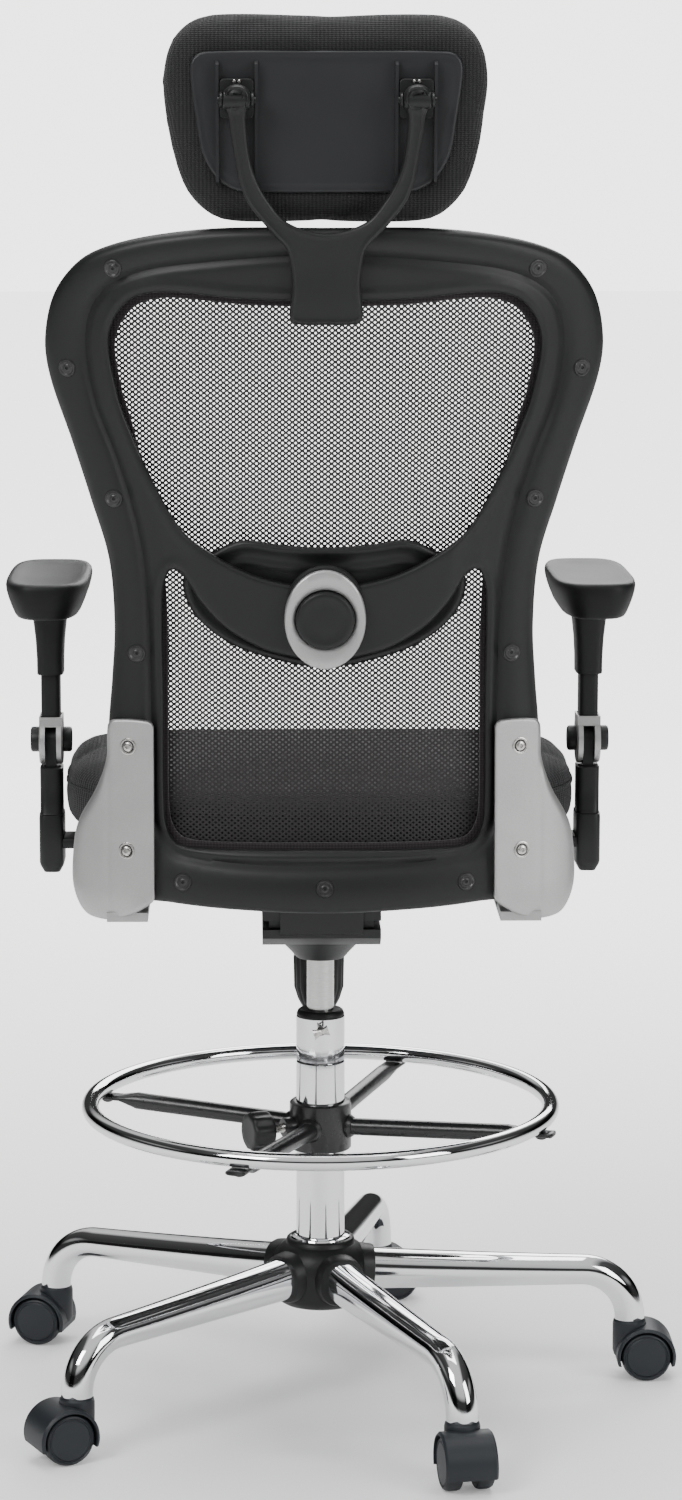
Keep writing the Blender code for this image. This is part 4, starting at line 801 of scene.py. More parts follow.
plate_parts = [prism(round_corners(0.085, -0.085, 0.135, 0.014), -0.0060, -0.0003, "Z")]
for side in (-1.0, 1.0):
    near, far = sorted((side * 0.0603, side * 0.0638))
    cheek = [(TILT_SPOT[0] - 0.018, -0.004), (TILT_SPOT[0] - 0.018, TILT_SPOT[1])]
    for step in range(9):
        turn = math.pi * (1.0 + step / 8.0)
        cheek.append((TILT_SPOT[0] + 0.018 * math.cos(turn), TILT_SPOT[1] + 0.012 * math.sin(turn)))
    cheek += [(TILT_SPOT[0] + 0.018, -0.004)]
    plate_parts.append(prism(cheek, near, far))
seat_plate = show("seat_plate", *moved(joined(*plate_parts), SEAT_CENTRE), black_paint, 30.0)
place(seat_plate, "seat", "black_plastic", "seat_plate")


def curve_round(knots, step):
    """A smooth closed curve through a few points, as an array of evenly spaced points."""
    knots = np.array(knots)
    made = []
    for index in range(len(knots)):
        a, b, c, d = (knots[(index + shift) % len(knots)] for shift in (-1, 0, 1, 2))
        gap = np.linalg.norm(c - b)
        lead, trail = np.linalg.norm(b - a), np.linalg.norm(d - c)
        start = (c - a) * gap / (lead + gap)
        end = (d - b) * gap / (gap + trail)
        count = max(2, int(round(gap / step)))
        for part in range(count):
            t = part / count
            made.append(b * (2 * t ** 3 - 3 * t ** 2 + 1) + start * (t ** 3 - 2 * t ** 2 + t)
                        + c * (3 * t ** 2 - 2 * t ** 3) + end * (t ** 3 - t ** 2))
    return np.array(made)


def both_halves(half):
    return list(half) + [(-x, z) for x, z in reversed(half) if x > 1e-4]


def distance_to(spots, loop):
    """Distance from each spot to a closed loop, negative inside it."""
    start, end = loop, np.roll(loop, -1, axis=0)
    along = end - start
    squared = np.maximum((along ** 2).sum(1), 1e-12)
    best = np.full(len(spots), 9.0)
    inside = np.zeros(len(spots), bool)
    for low in range(0, len(spots), 4000):
        some = spots[low:low + 4000]
        offset = some[:, None, :] - start[None]
        t = np.clip((offset * along).sum(2) / squared, 0.0, 1.0)
        nearest = offset - t[..., None] * along
        best[low:low + 4000] = np.sqrt((nearest ** 2).sum(2)).min(1)
        crosses = (start[:, 1] > some[:, None, 1]) != (end[:, 1] > some[:, None, 1])
        rise = np.where(np.abs(along[:, 1]) < 1e-12, 1e-12, along[:, 1])
        at = start[:, 0] + (some[:, None, 1] - start[:, 1]) / rise * along[:, 0]
        inside[low:low + 4000] = (crosses & (some[:, None, 0] < at)).sum(1) % 2 == 1
    return np.where(inside, -best, best)


def ease(value, low, high):
    t = np.clip((value - low) / (high - low), 0.0, 1.0)
    return t * t * (3.0 - 2.0 * t)


def rounded(distance, radius):
    """How far a face has fallen at a distance in from its rounded edge."""
    part = np.clip(radius - distance, 0.0, radius)
    return radius - np.sqrt(np.maximum(radius * radius - part * part, 0.0))


def plate(loops, rear, front, step=0.004, edge=(0.0007, 0.0018, 0.0034, 0.0055, 0.0080),
          surface=None, follow=None):
    """A plate in the X-Z plane between two depth functions of (spots, distance to the edge), cut to the
    first loop and pierced by the others. Depths are measured along Y from the surface. Rows of points
    run along the edges, at the distances in edge, and on both sides of the loop to follow."""
    rims = np.concatenate(loops)
    outer = loops[0]
    margin = edge[-1] + 0.5 * step
    low, high = outer.min(0), outer.max(0)
    columns = np.arange(low[0], high[0], step)
    rows = np.arange(low[1], high[1], step * 0.866)
    grid = np.array([(x + (0.5 * step if index % 2 else 0.0), z)
                     for index, z in enumerate(rows) for x in columns])

    def depth_in(spots):
        found = -distance_to(spots, outer)
        for hole in loops[1:]:
            found = np.minimum(found, distance_to(spots, hole))
        return found

    inside = depth_in(grid) > margin
    fill = []
    if follow is not None:
        inside &= np.abs(distance_to(grid, follow)) > 0.0085
        along = np.roll(follow, -1, axis=0) - np.roll(follow, 1, axis=0)
        across = np.stack((along[:, 1], -along[:, 0]), 1) / np.linalg.norm(along, axis=1)[:, None]
        for offset in (-0.0070, -0.0045, -0.0022, 0.0, 0.0022, 0.0045, 0.0070):
            ring = follow + offset * across
            fill.append(ring[depth_in(ring) > margin])
    fill.append(grid[inside])
    for loop in loops:
        along = np.roll(loop, -1, axis=0) - np.roll(loop, 1, axis=0)
        across = np.stack((along[:, 1], -along[:, 0]), 1)
        across /= np.linalg.norm(across, axis=1)[:, None]
        for offset in edge:
            for sign in (-1.0, 1.0):
                ring = loop + sign * offset * across
                fill.append(ring[depth_in(ring) > 0.85 * offset])
    spots = np.concatenate([rims] + fill)
    links = []
    start = 0
    for loop in loops:
        count = len(loop)
        links += [(start + index, start + (index + 1) % count) for index in range(count)]
        start += count
    found = delaunay_2d_cdt([Vector(spot) for spot in spots], links, [], 0, 1e-6)
    flat = np.array([tuple(vert) for vert in found[0]])
    faces = np.array([face for face in found[2] if len(face) == 3])
    keep = depth_in(flat[faces].mean(1)) > 0.0
    faces = faces[keep]
    inward = np.maximum(depth_in(flat), 0.0)
    base = surface(flat) if surface else np.zeros(len(flat))
    behind = np.stack((flat[:, 0], base + rear(flat, inward), flat[:, 1]), 1)
    ahead = np.stack((flat[:, 0], base + front(flat, inward), flat[:, 1]), 1)
    count = len(flat)
    sides = {}
    for a, b, c in faces:
        for pair in ((a, b), (b, c), (c, a)):
            key = (min(pair), max(pair))
            sides[key] = None if key in sides else pair
    walls = [pair for pair in sides.values() if pair]
    points = np.concatenate((behind, ahead))
    skin = [tuple(face) for face in faces] + [tuple(face[::-1] + count) for face in faces]
    skin += [(b, a, a + count, b + count) for a, b in walls]
    return points, skin


SEAT_SIDE = 0.2595
SEAT_REAR = -0.196
SEAT_FRONT = 0.274
PAN_THICK = 0.0140
CUSHION_LOW = 0.0143
CUSHION_THICK = 0.0670


def seat_loop(inset, step=0.006):
    """Plan of the seat: narrow at the back, widest ahead of the middle, nearly straight in front."""
    side, rear, front = SEAT_SIDE - inset, SEAT_REAR + inset, SEAT_FRONT - inset
    half = [(0.0, rear), (0.39 * side, rear + 0.004), (0.66 * side, rear + 0.026),
            (0.80 * side, rear + 0.070), (0.855 * side, rear + 0.122), (0.975 * side, rear + 0.190),
            (side, rear + 0.262), (0.985 * side, rear + 0.350), (0.90 * side, front - 0.034),
            (0.62 * side, front - 0.006), (0.0, front)]
    return curve_round(both_halves(half), step)


LAID = Matrix(((1, 0, 0, 0), (0, 0, 1, 0), (0, 1, 0, 0), (0, 0, 0, 1)))


def pan_under(spots, inward):
    rib = 0.0018 * np.exp(-((inward - 0.020) / 0.003) ** 2) * (inward < 0.035)
    return rounded(inward, 0.0100) - rib * 0.5


def pan_over(spots, inward):
    return PAN_THICK - rounded(inward, 0.0020)


pan_shape = plate([seat_loop(0.030, 0.008)], pan_under, pan_over, 0.012)
seat_pan = show("seat_pan", *moved(pan_shape, SEAT_CENTRE @ LAID), black_plastic, 45.0)
place(seat_pan, "seat", "black_plastic", "seat_pan")


# ---------------------------------------------------------------- seat cushion
# Cut foam in a tight knitted cover: sewn from a top panel and a side band, with a piped seam between
# them and the lower edge pulled in under the pan.
def knit(name, pitch, dark, light, depth):
    """Spacer knit: diamond cells in rows, laid over each face from the side it looks to."""
    made = Finish(name, Specular_IOR_Level=0.25, Sheen_Weight=0.12, Sheen_Roughness=0.5)
    x, y, z = made.axes()
    facing = made.node("ShaderNodeTexCoord", output="Normal")
    lean = [abs(part) ** 4.0 for part in made.axes(facing)]
    total = lean[0] + lean[1] + lean[2]
    turn = math.tau / pitch

    def cells(u, v):
        first = (u * (0.5 * turn) + v * turn).math("SINE")
        second = (u * (0.5 * turn) - v * turn).math("SINE")
        return first * second * 0.5 + 0.5

    weave = (cells(y, z) * lean[0] + cells(x, z) * lean[1] + cells(x, y) * lean[2]) / total
    fuzz = made.noise(900.0, 2.0)
    cloud = made.noise(7.0, 3.0)
    made.set(Base_Color=made.blend((weave ** 1.4) * 0.85 + fuzz * 0.15, dark, light))
    made.set(Roughness=0.80 + 0.14 * cloud)
    made.bump(weave + 0.25 * fuzz, depth)
    return made.material


def swollen(name, shape, paint, cell, cap, pressure=4.0):
    """A cushion: the sewn shape is remeshed, blown up as cloth and held to a greatest swell."""
    piece = show(name, *shape, paint, 180.0)
    even = piece.modifiers.new("even", "REMESH")
    even.mode = "VOXEL"
    even.voxel_size = cell
    graph = bpy.context.evaluated_depsgraph_get()
    data = bpy.data.meshes.new_from_object(piece.evaluated_get(graph))
    piece.modifiers.clear()
    piece.data = data
    start = np.array([tuple(vert.co) for vert in data.vertices])
    cover = piece.modifiers.new("cover", "CLOTH")
    cover.settings.use_pressure = True
    cover.settings.uniform_pressure_force = pressure
    cover.settings.effector_weights.gravity = 0.0
    cover.settings.quality = 4
    cover.collision_settings.use_self_collision = False
    cover.collision_settings.use_collision = False
    for step in range(1, 21):
        bpy.context.scene.frame_set(step)
    graph = bpy.context.evaluated_depsgraph_get()
    blown = bpy.data.meshes.new_from_object(piece.evaluated_get(graph))
    piece.modifiers.clear()
    end = np.array([tuple(vert.co) for vert in blown.vertices])
    shift = end - start
    reach = np.linalg.norm(shift, axis=1)[:, None]
    start = start + shift * (cap * np.tanh(reach / cap) / np.maximum(reach, 1e-9))
    bpy.context.scene.frame_set(1)
    return piece, start


def settled(piece, points, levels=1):
    """Put a cushion's points where they belong, then one subdivision."""
    piece.data.vertices.foreach_set("co", points.ravel())
    piece.data.update()
    calm = piece.modifiers.new("calm", "SMOOTH")
    calm.factor = 0.5
    calm.iterations = 6
    finer = piece.modifiers.new("finer", "SUBSURF")
    finer.levels = levels
    finer.render_levels = levels
    graph = bpy.context.evaluated_depsgraph_get()
    data = bpy.data.meshes.new_from_object(piece.evaluated_get(graph))
    piece.modifiers.clear()
    piece.data = data
    data.shade_smooth()
    return piece


def cushion_under(spots, inward):
    return CUSHION_LOW + 0.0010 + rounded(inward, 0.0170)


def cushion_over(spots, inward):
    crown = 0.0060 * ease(inward, 0.0, 0.16)
    front = 0.0120 * ease(spots[:, 1], 0.15, 0.27)
    rear = 0.0100 * ease(-spots[:, 1], 0.08, 0.19)
    return CUSHION_LOW + CUSHION_THICK - 0.0030 + crown - front - rear - rounded(inward, 0.0190)


seat_knit = knit("seat_knit", 0.0042, (0.0045, 0.0045, 0.0048), (0.022, 0.022, 0.024), 0.0009)
cushion_shape = plate([seat_loop(0.0, 0.006) * (1.035, 1.0)], cushion_under, cushion_over, 0.010,
                      (0.0015, 0.004, 0.008, 0.013, 0.019))
cushion, spots = swollen("upholstered_seat", moved(cushion_shape, SEAT_CENTRE @ LAID), seat_knit, 0.0060,
                         0.0075, 3.0)
low_z = PAN_Z + CUSHION_LOW
flat_from = seat_loop(0.034, 0.006)
over_pan = ease(-distance_to(spots[:, :2] - (AXIS_X, AXIS_Y), flat_from), -0.012, 0.004)
resting = low_z + 0.0008
raised = np.maximum(spots[:, 2], resting)
underside = spots[:, 2] < low_z + 0.012
spots[:, 2] = np.where(underside, raised + over_pan * (resting - raised), spots[:, 2])
seam_z = low_z + 0.0430
groove = np.exp(-((spots[:, 2] - seam_z) / 0.0040) ** 2)
rim = ease(-distance_to(spots[:, :2] - (AXIS_X, AXIS_Y), seat_loop(0.0, 0.006)), 0.020, 0.0)
middle = np.array((AXIS_X, AXIS_Y + 0.03))
pull = spots[:, :2] - middle
pull /= np.maximum(np.linalg.norm(pull, axis=1), 1e-6)[:, None]
spots[:, :2] -= pull * (0.0026 * groove * rim)[:, None]
cushion = settled(cushion, spots)
place(cushion, "seat", "black_fabric", "seat_cushion")


def piping(name, piece, loop, height, radius, paint):
    """A round welt laid on a cushion where its seam runs."""
    graph = bpy.context.evaluated_depsgraph_get()
    tree = BVHTree.FromObject(piece, graph)
    path = []
    for x, y in loop:
        ray = Vector((middle[0] - x, middle[1] - y, 0.0)).normalized()
        path.append(tree.ray_cast(Vector((x, y, height)) - ray * 0.05, ray)[0])
    rings = []
    for index, spot in enumerate(path):
        along = (path[(index + 1) % len(path)] - path[index - 1]).normalized()
        side = along.cross(Vector((0.0, 0.0, 1.0))).normalized()
        up = side.cross(along)
        rings.append([spot + side * a + up * u for a, u in oval(radius, radius, 2.0, 10)])
    return show(name, *loft(rings, closed=True), paint)


welt_loop = seat_loop(0.0, 0.005) + (AXIS_X, AXIS_Y)
seat_welt = piping("seat_welt", cushion, welt_loop, seam_z, 0.0021, seat_knit)
place(seat_welt, "seat", "black_fabric")


# ---------------------------------------------------------------- back frame
# One large moulding: a thick rim all round, a crease where it falls to the inner web, and a
# crossbar that stands back to carry the lumbar knob. It curves with the back and wraps the sides.
BACK_HALF = 0.266
BACK_LOW = -0.032
BACK_TALL = 0.6614
RING_DEEP = 0.018
BAR_OUT = 0.008
BACK_AT = -0.235
BACK_WRAP = 0.90
BEND_Z = 0.1515
BEND_REACH = 0.20
LEAN_ABOVE = 0.25
LEAN_BELOW = 0.10
EDGE = [(0.0, 1.0), (0.338, 1.0), (0.560, 0.992), (0.748, 0.976), (0.868, 0.953), (0.962, 0.906),
        (1.0, 0.841), (0.985, 0.785), (0.910, 0.693), (0.842, 0.605), (0.780, 0.518), (0.763, 0.421),
        (0.774, 0.339), (0.788, 0.272), (0.797, 0.160), (0.780, 0.070), (0.700, 0.020),
        (0.560, 0.011), (0.338, 0.004), (0.0, 0.0)]
UPPER = [(0.0, 0.897), (0.301, 0.900), (0.564, 0.909), (0.677, 0.900), (0.744, 0.873), (0.770, 0.837),
         (0.744, 0.769), (0.711, 0.725), (0.617, 0.638), (0.519, 0.569), (0.430, 0.538),
         (0.269, 0.504), (0.126, 0.489), (0.0, 0.485)]
LOWER = [(0.0, 0.374), (0.126, 0.382), (0.233, 0.394), (0.360, 0.424), (0.451, 0.463), (0.521, 0.504),
         (0.558, 0.505), (0.585, 0.470), (0.585, 0.300), (0.585, 0.160), (0.575, 0.122),
         (0.540, 0.100), (0.470, 0.093), (0.0, 0.093)]
RIM = [(0.0, 0.897), (0.301, 0.900), (0.564, 0.909), (0.677, 0.900), (0.744, 0.873), (0.770, 0.837),
       (0.744, 0.769), (0.711, 0.725), (0.650, 0.620), (0.600, 0.520), (0.585, 0.420),
       (0.585, 0.300), (0.585, 0.160), (0.575, 0.122), (0.540, 0.100), (0.470, 0.093), (0.0, 0.093)]
CREASE = [(0.0, 0.962), (0.440, 0.951), (0.688, 0.933), (0.814, 0.897), (0.853, 0.839),
          (0.820, 0.753), (0.741, 0.665), (0.671, 0.564), (0.641, 0.475), (0.630, 0.313),
          (0.630, 0.190), (0.612, 0.125), (0.520, 0.085), (0.0, 0.070)]
FRAME_SCREWS = [(0.199, 0.591), (0.2446, 0.496), (0.2014, 0.371), (0.181, 0.220), (0.1375, -0.0023)]


def back_depth(spots):
    """Depth of the back's rear surface, measured from the column's axis."""
    rise = spots[:, 1] - BEND_Z
    slope = np.where(rise > 0.0, LEAN_ABOVE, LEAN_BELOW)
    return BACK_AT - slope * (np.hypot(rise, BEND_REACH) - BEND_REACH) + BACK_WRAP * spots[:, 0] ** 2


def back_loop(shares, step=0.004):
    half = [(x * BACK_HALF, BACK_LOW + z * BACK_TALL) for x, z in shares]
    return curve_round(both_halves(half), step)


def relief(loops, rear, front, step=0.004, edge=(0.0007, 0.0018, 0.0034, 0.0055, 0.0080), follow=None):
    """A plate that follows the back's curve."""
    return moved(plate(loops, rear, front, step, edge, back_depth, follow),
                 Matrix.Translation((AXIS_X, AXIS_Y, PAN_Z)))


edge_loop = back_loop(EDGE)
upper_loop = back_loop(UPPER)
lower_loop = back_loop(LOWER)
rim_loop = back_loop(RIM)
crease_loop = back_loop(CREASE)


def frame_rear(spots, inward):
    from_edge = -distance_to(spots, edge_loop)
    from_opening = np.minimum(distance_to(spots, upper_loop), distance_to(spots, lower_loop))
    crease = distance_to(spots, crease_loop)
    past_rim = -distance_to(spots, rim_loop)
    tube = from_edge / np.maximum(from_edge + np.maximum(crease, 0.0), 0.001)
    crown = 0.0042 * (2.0 * tube - 1.0) ** 2 * (crease > 0.0) + 0.0042 * (crease <= 0.0)
    web = -0.0007 * ease(-crease, 0.0, 0.012)
    groove = 0.0030 * np.exp(-(crease / 0.0045) ** 2)
    bead = -0.0014 * np.exp(-((from_opening - 0.0065) / 0.0032) ** 2)
    bar = ease(past_rim, 0.002, 0.040)
    depth = (crown + web + groove + bead) * (1.0 - bar) - BAR_OUT * bar
    return depth + rounded(from_edge, 0.0085) + rounded(from_opening, 0.0050) * (0.6 + 0.4 * bar)


def frame_front(spots, inward):
    from_edge = -distance_to(spots, edge_loop)
    past_rim = -distance_to(spots, rim_loop)
    thin = ease(past_rim, 0.0, 0.008)
    return RING_DEEP * (1.0 - thin) + 0.004 * thin - rounded(from_edge, 0.004) \
        - 0.6 * rounded(inward, 0.003) * thin


back_frame = show("back_frame", *relief([edge_loop, upper_loop, lower_loop], frame_rear, frame_front,
                                        0.0034, follow=crease_loop), black_plastic, 42.0)
place(back_frame, "seat", "black_plastic", "back_frame")


def on_back(x, z, depth_of):
    """A point on a relief's rear face and the direction it looks."""
    spots = np.array([(x, z), (x + 0.004, z), (x, z + 0.004)])
    depth = back_depth(spots) + depth_of(spots, np.full(3, 0.02))
    here, beside, above = [Vector((spot[0] + AXIS_X, d + AXIS_Y, spot[1] + PAN_Z))
                           for spot, d in zip(spots, depth)]
    out = (beside - here).cross(above - here).normalized()
    return here, out if out.y < 0.0 else -out


# the eleven screws that hold the mesh carrier: each sits in a ringed pocket with a hexagon socket
def socket_head(radius, socket, high):
    """A button head with a hexagon socket, facing +Z."""
    rings = []
    for size, height, corners in ((radius, 0.0, False), (radius, 0.35 * high, False),
                                  (0.86 * radius, 0.8 * high, False), (0.62 * radius, high, False),
                                  (socket, high, True), (0.94 * socket, 0.25 * high, True)):
        ring = []
        for side in range(24):
            turn = math.tau * side / 24.0
            reach = size
            if corners:
                reach = size * math.cos(math.pi / 6.0) / math.cos((turn % (math.pi / 3.0)) - math.pi / 6.0)
            ring.append((reach * math.cos(turn), reach * math.sin(turn), height))
        rings.append(ring)
    return loft(rings)


pocket = turned([(0.0040, -0.0010), (0.0085, -0.0010), (0.0085, 0.0003), (0.0080, 0.0012),
                 (0.0071, 0.0013), (0.0064, 0.0006), (0.0058, 0.0001), (0.0040, 0.0001)], sides=28)
screw = joined(pocket, moved(socket_head(0.0042, 0.0019, 0.0016), Matrix.Translation((0, 0, -0.0008))))
screw_spots = [on_back(side * x, z, frame_rear) for x, z in FRAME_SCREWS for side in (-1.0, 1.0)]
screw_spots.append(on_back(0.0, -0.0058, frame_rear))
# black oxide on the frame screws; the same dark finish also paints shade in the gaps round the bracket bolts
black_oxide_and_gap_shade = moulded("black_oxide_and_gap_shade", (0.016, 0.016, 0.016), 0.33, 0.00002, 0.6)
frame_screws = repeated("frame_screws", screw, screw_spots, black_oxide_and_gap_shade)
place(frame_screws, "seat", "black_plastic")


# ---------------------------------------------------------------- mesh carrier and mesh
# The see-through mesh is stretched over an inner rim that screws to the front of the frame. Its cut
# edge is turned round the rim, so a dark woven lip shows inside the frame's openings.
CARRIER_BACK = 0.0183
CARRIER_FRONT = 0.0243
LIP = 0.0060
MESH_ACROSS = 0.0062
MESH_UP = 0.0025
MESH_HEM = 0.0045


def drawn_in(loop, lip):
    """The same loop drawn in toward its middle by about a lip's width."""
    middle = (loop[:, 1].min() + loop[:, 1].max()) / 2.0
    widest = np.abs(loop[:, 0]).max()
    tallest = loop[:, 1].max() - middle
    return np.stack((loop[:, 0] * (1.0 - lip / widest),
                     middle + (loop[:, 1] - middle) * (1.0 - lip / tallest)), 1)


def woven_band():
    """Close-woven edge of the mesh, turned over the rim: purplish black, with fine diagonals."""
    made = Finish("woven_band", Specular_IOR_Level=0.2)
    x, y, z = made.axes()
    first = (x * 1013.0 + z * 1257.0).math("SINE")
    second = (x * 1013.0 - z * 1257.0).math("SINE")
    weave = first * second * 0.5 + 0.5
    made.set(Base_Color=made.blend(weave, (0.010, 0.0085, 0.0095), (0.034, 0.028, 0.030)))
    made.set(Roughness=0.72 + 0.16 * weave, Sheen_Weight=0.15)
    made.bump(weave, 0.0004)
    return made.material


band_cloth = woven_band()
carrier_loop = drawn_in(edge_loop, 0.006)
lip_loop = drawn_in(rim_loop, LIP)


def carrier_rear(spots, inward):
    return CARRIER_BACK + rounded(inward, 0.0022)


def carrier_front(spots, inward):
    return CARRIER_FRONT - rounded(inward, 0.0018)


carrier = show("mesh_carrier", *relief([carrier_loop, lip_loop], carrier_rear, carrier_front, 0.008,
                                       (0.0006, 0.0014, 0.0024)), band_cloth)
place(carrier, "seat", "black_plastic", "mesh_carrier")


def thread_finish():
    """Monofilament mesh: smooth dark thread with a soft shine."""
    made = Finish("mesh_thread", Specular_IOR_Level=0.45)
    cloud = made.noise(300.0, 2.0)
    made.set(Base_Color=made.blend(cloud, (0.007, 0.006, 0.0065), (0.020, 0.017, 0.018)))
    made.set(Roughness=0.42 + 0.2 * cloud)
    return made.material


mesh_thread = thread_finish()


def mesh_cell():
    """Threads round one hole: a six-sided ring whose inner edge is set back, so threads look round."""
    across, up = MESH_ACROSS / 2.0, MESH_UP
    tip = (across * across + up * up) / 2.0 / across
    shoulder = ((across * across + up * up) / 2.0 - up * up) / across
    outer = [(tip, 0.0), (shoulder, up), (-shoulder, up), (-tip, 0.0), (-shoulder, -up), (shoulder, -up)]
    inner = [(0.00134, 0.0), (0.00052, 0.00104), (-0.00052, 0.00104), (-0.00134, 0.0),
             (-0.00052, -0.00104), (0.00052, -0.00104)]
    points = [(x, 0.0, z) for x, z in outer] + [(x, 0.00035, z) for x, z in inner]
    faces = [(side, (side + 1) % 6, (side + 1) % 6 + 6, side + 6) for side in range(6)]
    return points, faces


def stretched_mesh(rows):
    """Holes at every lattice spot inside the rim, laid on the back's surface by geometry nodes."""
    stamp = show("mesh_stamp", *mesh_cell(), mesh_thread)
    stamp.data.materials.clear()
    data = bpy.data.meshes.new("mesh_spots")
    data.from_pydata([(x, 0.0, z) for x, z in rows], [], [])
    cloud = bpy.data.objects.new("mesh_spots", data)
    bpy.context.scene.collection.objects.link(cloud)
    group = bpy.data.node_groups.new("stretched_mesh", "GeometryNodeTree")
    for label, kind, way in (("Holes", "NodeSocketGeometry", "INPUT"),
                             ("Shape", "NodeSocketObject", "INPUT"),
                             ("Finish", "NodeSocketMaterial", "INPUT"),
                             ("Depth", "NodeSocketFloat", "INPUT"),
                             ("Wrap", "NodeSocketFloat", "INPUT"),
                             ("Geometry", "NodeSocketGeometry", "OUTPUT")):
        group.interface.new_socket(label, in_out=way, socket_type=kind)
    tree = Nodes(group)
    entry = group.nodes.new("NodeGroupInput")
    given = {out.name: Wire(group, out) for out in entry.outputs if out.name}
    shape = tree.node("GeometryNodeObjectInfo", {"Object": given["Shape"]}, output="Geometry")
    laid = tree.node("GeometryNodeInstanceOnPoints", {"Points": given["Holes"], "Instance": shape})
    real = tree.node("GeometryNodeRealizeInstances", {"Geometry": laid})
    welded = tree.node("GeometryNodeMergeByDistance", {"Geometry": real, "Distance": 0.00008})
    position = tree.node("GeometryNodeInputPosition")
    split = tree.node("ShaderNodeSeparateXYZ", {"Vector": position}).socket.node.outputs
    x, y, z = [Wire(group, out) for out in split]
    rise = z - BEND_Z
    slope = LEAN_BELOW + (LEAN_ABOVE - LEAN_BELOW) * rise.math("GREATER_THAN", 0.0)
    bend = (rise * rise + BEND_REACH ** 2).math("SQRT") - BEND_REACH
    depth = given["Depth"] - slope * bend + given["Wrap"] * x * x + y
    spot = tree.node("ShaderNodeCombineXYZ", {"X": x + AXIS_X, "Y": depth + AXIS_Y, "Z": z + PAN_Z})
    bent = tree.node("GeometryNodeSetPosition", {"Geometry": welded, "Position": spot})
    dressed = tree.node("GeometryNodeSetMaterial", {"Geometry": bent, "Material": given["Finish"]})
    feed(group, group.nodes.new("NodeGroupOutput").inputs[0], dressed)
    return stamp, cloud, group


lattice = []
for row in range(int(BACK_TALL / MESH_UP)):
    for column_number in range(-45, 46):
        lattice.append(((column_number + 0.5 * (row % 2)) * MESH_ACROSS, BACK_LOW + row * MESH_UP))
lattice = np.array(lattice)
lattice = lattice[distance_to(lattice, lip_loop) < MESH_HEM]
stamp, cloud, group = stretched_mesh(lattice)
weave = baked("mesh_weave", stamp, cloud, group,
              {"Shape": stamp, "Finish": mesh_thread, "Depth": BACK_AT + CARRIER_FRONT + 0.0004,
               "Wrap": BACK_WRAP}, 180.0)
place(weave, "seat", "black_mesh", "mesh_panel")


def band_rear(spots, inward):
    return np.full(len(spots), CARRIER_FRONT + 0.0009)


def band_front(spots, inward):
    return CARRIER_FRONT + 0.0022 - rounded(inward, 0.0010)


band_loop = drawn_in(rim_loop, LIP - 0.0015)
band = show("mesh_border", *relief([carrier_loop, band_loop], band_rear, band_front, 0.008,
                                   (0.0005, 0.0012)), band_cloth)
place(band, "seat", "black_mesh")
welt_path = drawn_in(edge_loop, 0.0075)
welt_depth = back_depth(welt_path) + CARRIER_FRONT + 0.0012
welt_rings = []
for index, (x, z) in enumerate(welt_path):
    following = welt_path[(index + 1) % len(welt_path)] - welt_path[index - 1]
    following /= np.linalg.norm(following)
    welt_rings.append([(x + AXIS_X + across * following[1], welt_depth[index] + AXIS_Y + up,
                        z + PAN_Z - across * following[0]) for across, up in oval(0.0022, 0.0019, 2.0, 10)])
welt = show("mesh_welt", *loft(welt_rings, closed=True), band_cloth)
place(welt, "seat", "black_mesh")


def cloth_between(start, end):
    """Length of cloth from one spot to another, measured along the back's curve."""
    line = np.linspace(start, end, 200)
    steps = np.diff(np.column_stack((line, back_depth(line))), axis=0)
    return float(np.linalg.norm(steps, axis=1).sum())


sheet_low, sheet_high = lip_loop.min(axis=0), lip_loop.max(axis=0)
widest = lip_loop[lip_loop[:, 0].argmax(), 1]
sheet_wide = cloth_between((sheet_low[0], widest), (sheet_high[0], widest)) + 2.0 * MESH_HEM
sheet_long = cloth_between((0.0, sheet_low[1]), (0.0, sheet_high[1])) + 2.0 * MESH_HEM
slope_across = (back_depth(lattice + (0.001, 0.0)) - back_depth(lattice - (0.001, 0.0))) / 0.002
slope_up = (back_depth(lattice + (0.0, 0.001)) - back_depth(lattice - (0.0, 0.001))) / 0.002
sheet_area = float(np.sqrt(1.0 + slope_across ** 2 + slope_up ** 2).sum()) * MESH_ACROSS * MESH_UP


# ---------------------------------------------------------------- lumbar support
# A crescent pad between crossbar and mesh. Half a turn of the knob in the silver bezel pushes it
# forward. The bezel is a painted casting, the knob a plain moulding.
LUMBAR_Z = 0.2595
PAD = [(0.0, 0.541), (0.162, 0.545), (0.295, 0.551), (0.393, 0.535), (0.508, 0.497), (0.477, 0.444),
       (0.342, 0.398), (0.126, 0.370), (0.0, 0.364)]
pad_loop = back_loop(PAD, 0.003)


def pad_rear(spots, inward):
    bead = -0.0020 * np.exp(-((inward - 0.0045) / 0.0022) ** 2)
    dish = 0.0030 * ease(inward, 0.006, 0.016)
    rib = -0.0016 * np.exp(-((inward - 0.0210) / 0.0030) ** 2)
    return 0.0068 + bead + dish + rib + rounded(inward, 0.0030)


def pad_front(spots, inward):
    return 0.0126 - rounded(inward, 0.0040)


lumbar_pad = show("lumbar_pad", *relief([pad_loop], pad_rear, pad_front, 0.0036), black_plastic, 45.0)
place(lumbar_pad, "lumbar_pad", "black_plastic", "lumbar_pad")

lumbar_slope = (back_depth(np.array([(0.0, LUMBAR_Z + 0.01)]))[0]
                - back_depth(np.array([(0.0, LUMBAR_Z - 0.01)]))[0]) / 0.02
lumbar_at = Vector((AXIS_X, AXIS_Y + back_depth(np.array([(0.0, LUMBAR_Z)]))[0], PAN_Z + LUMBAR_Z))
lumbar_frame = Matrix.Translation(lumbar_at) @ Matrix.Rotation(-math.atan(lumbar_slope), 4, "X") \
    @ Matrix.Rotation(math.pi / 2.0, 4, "X")


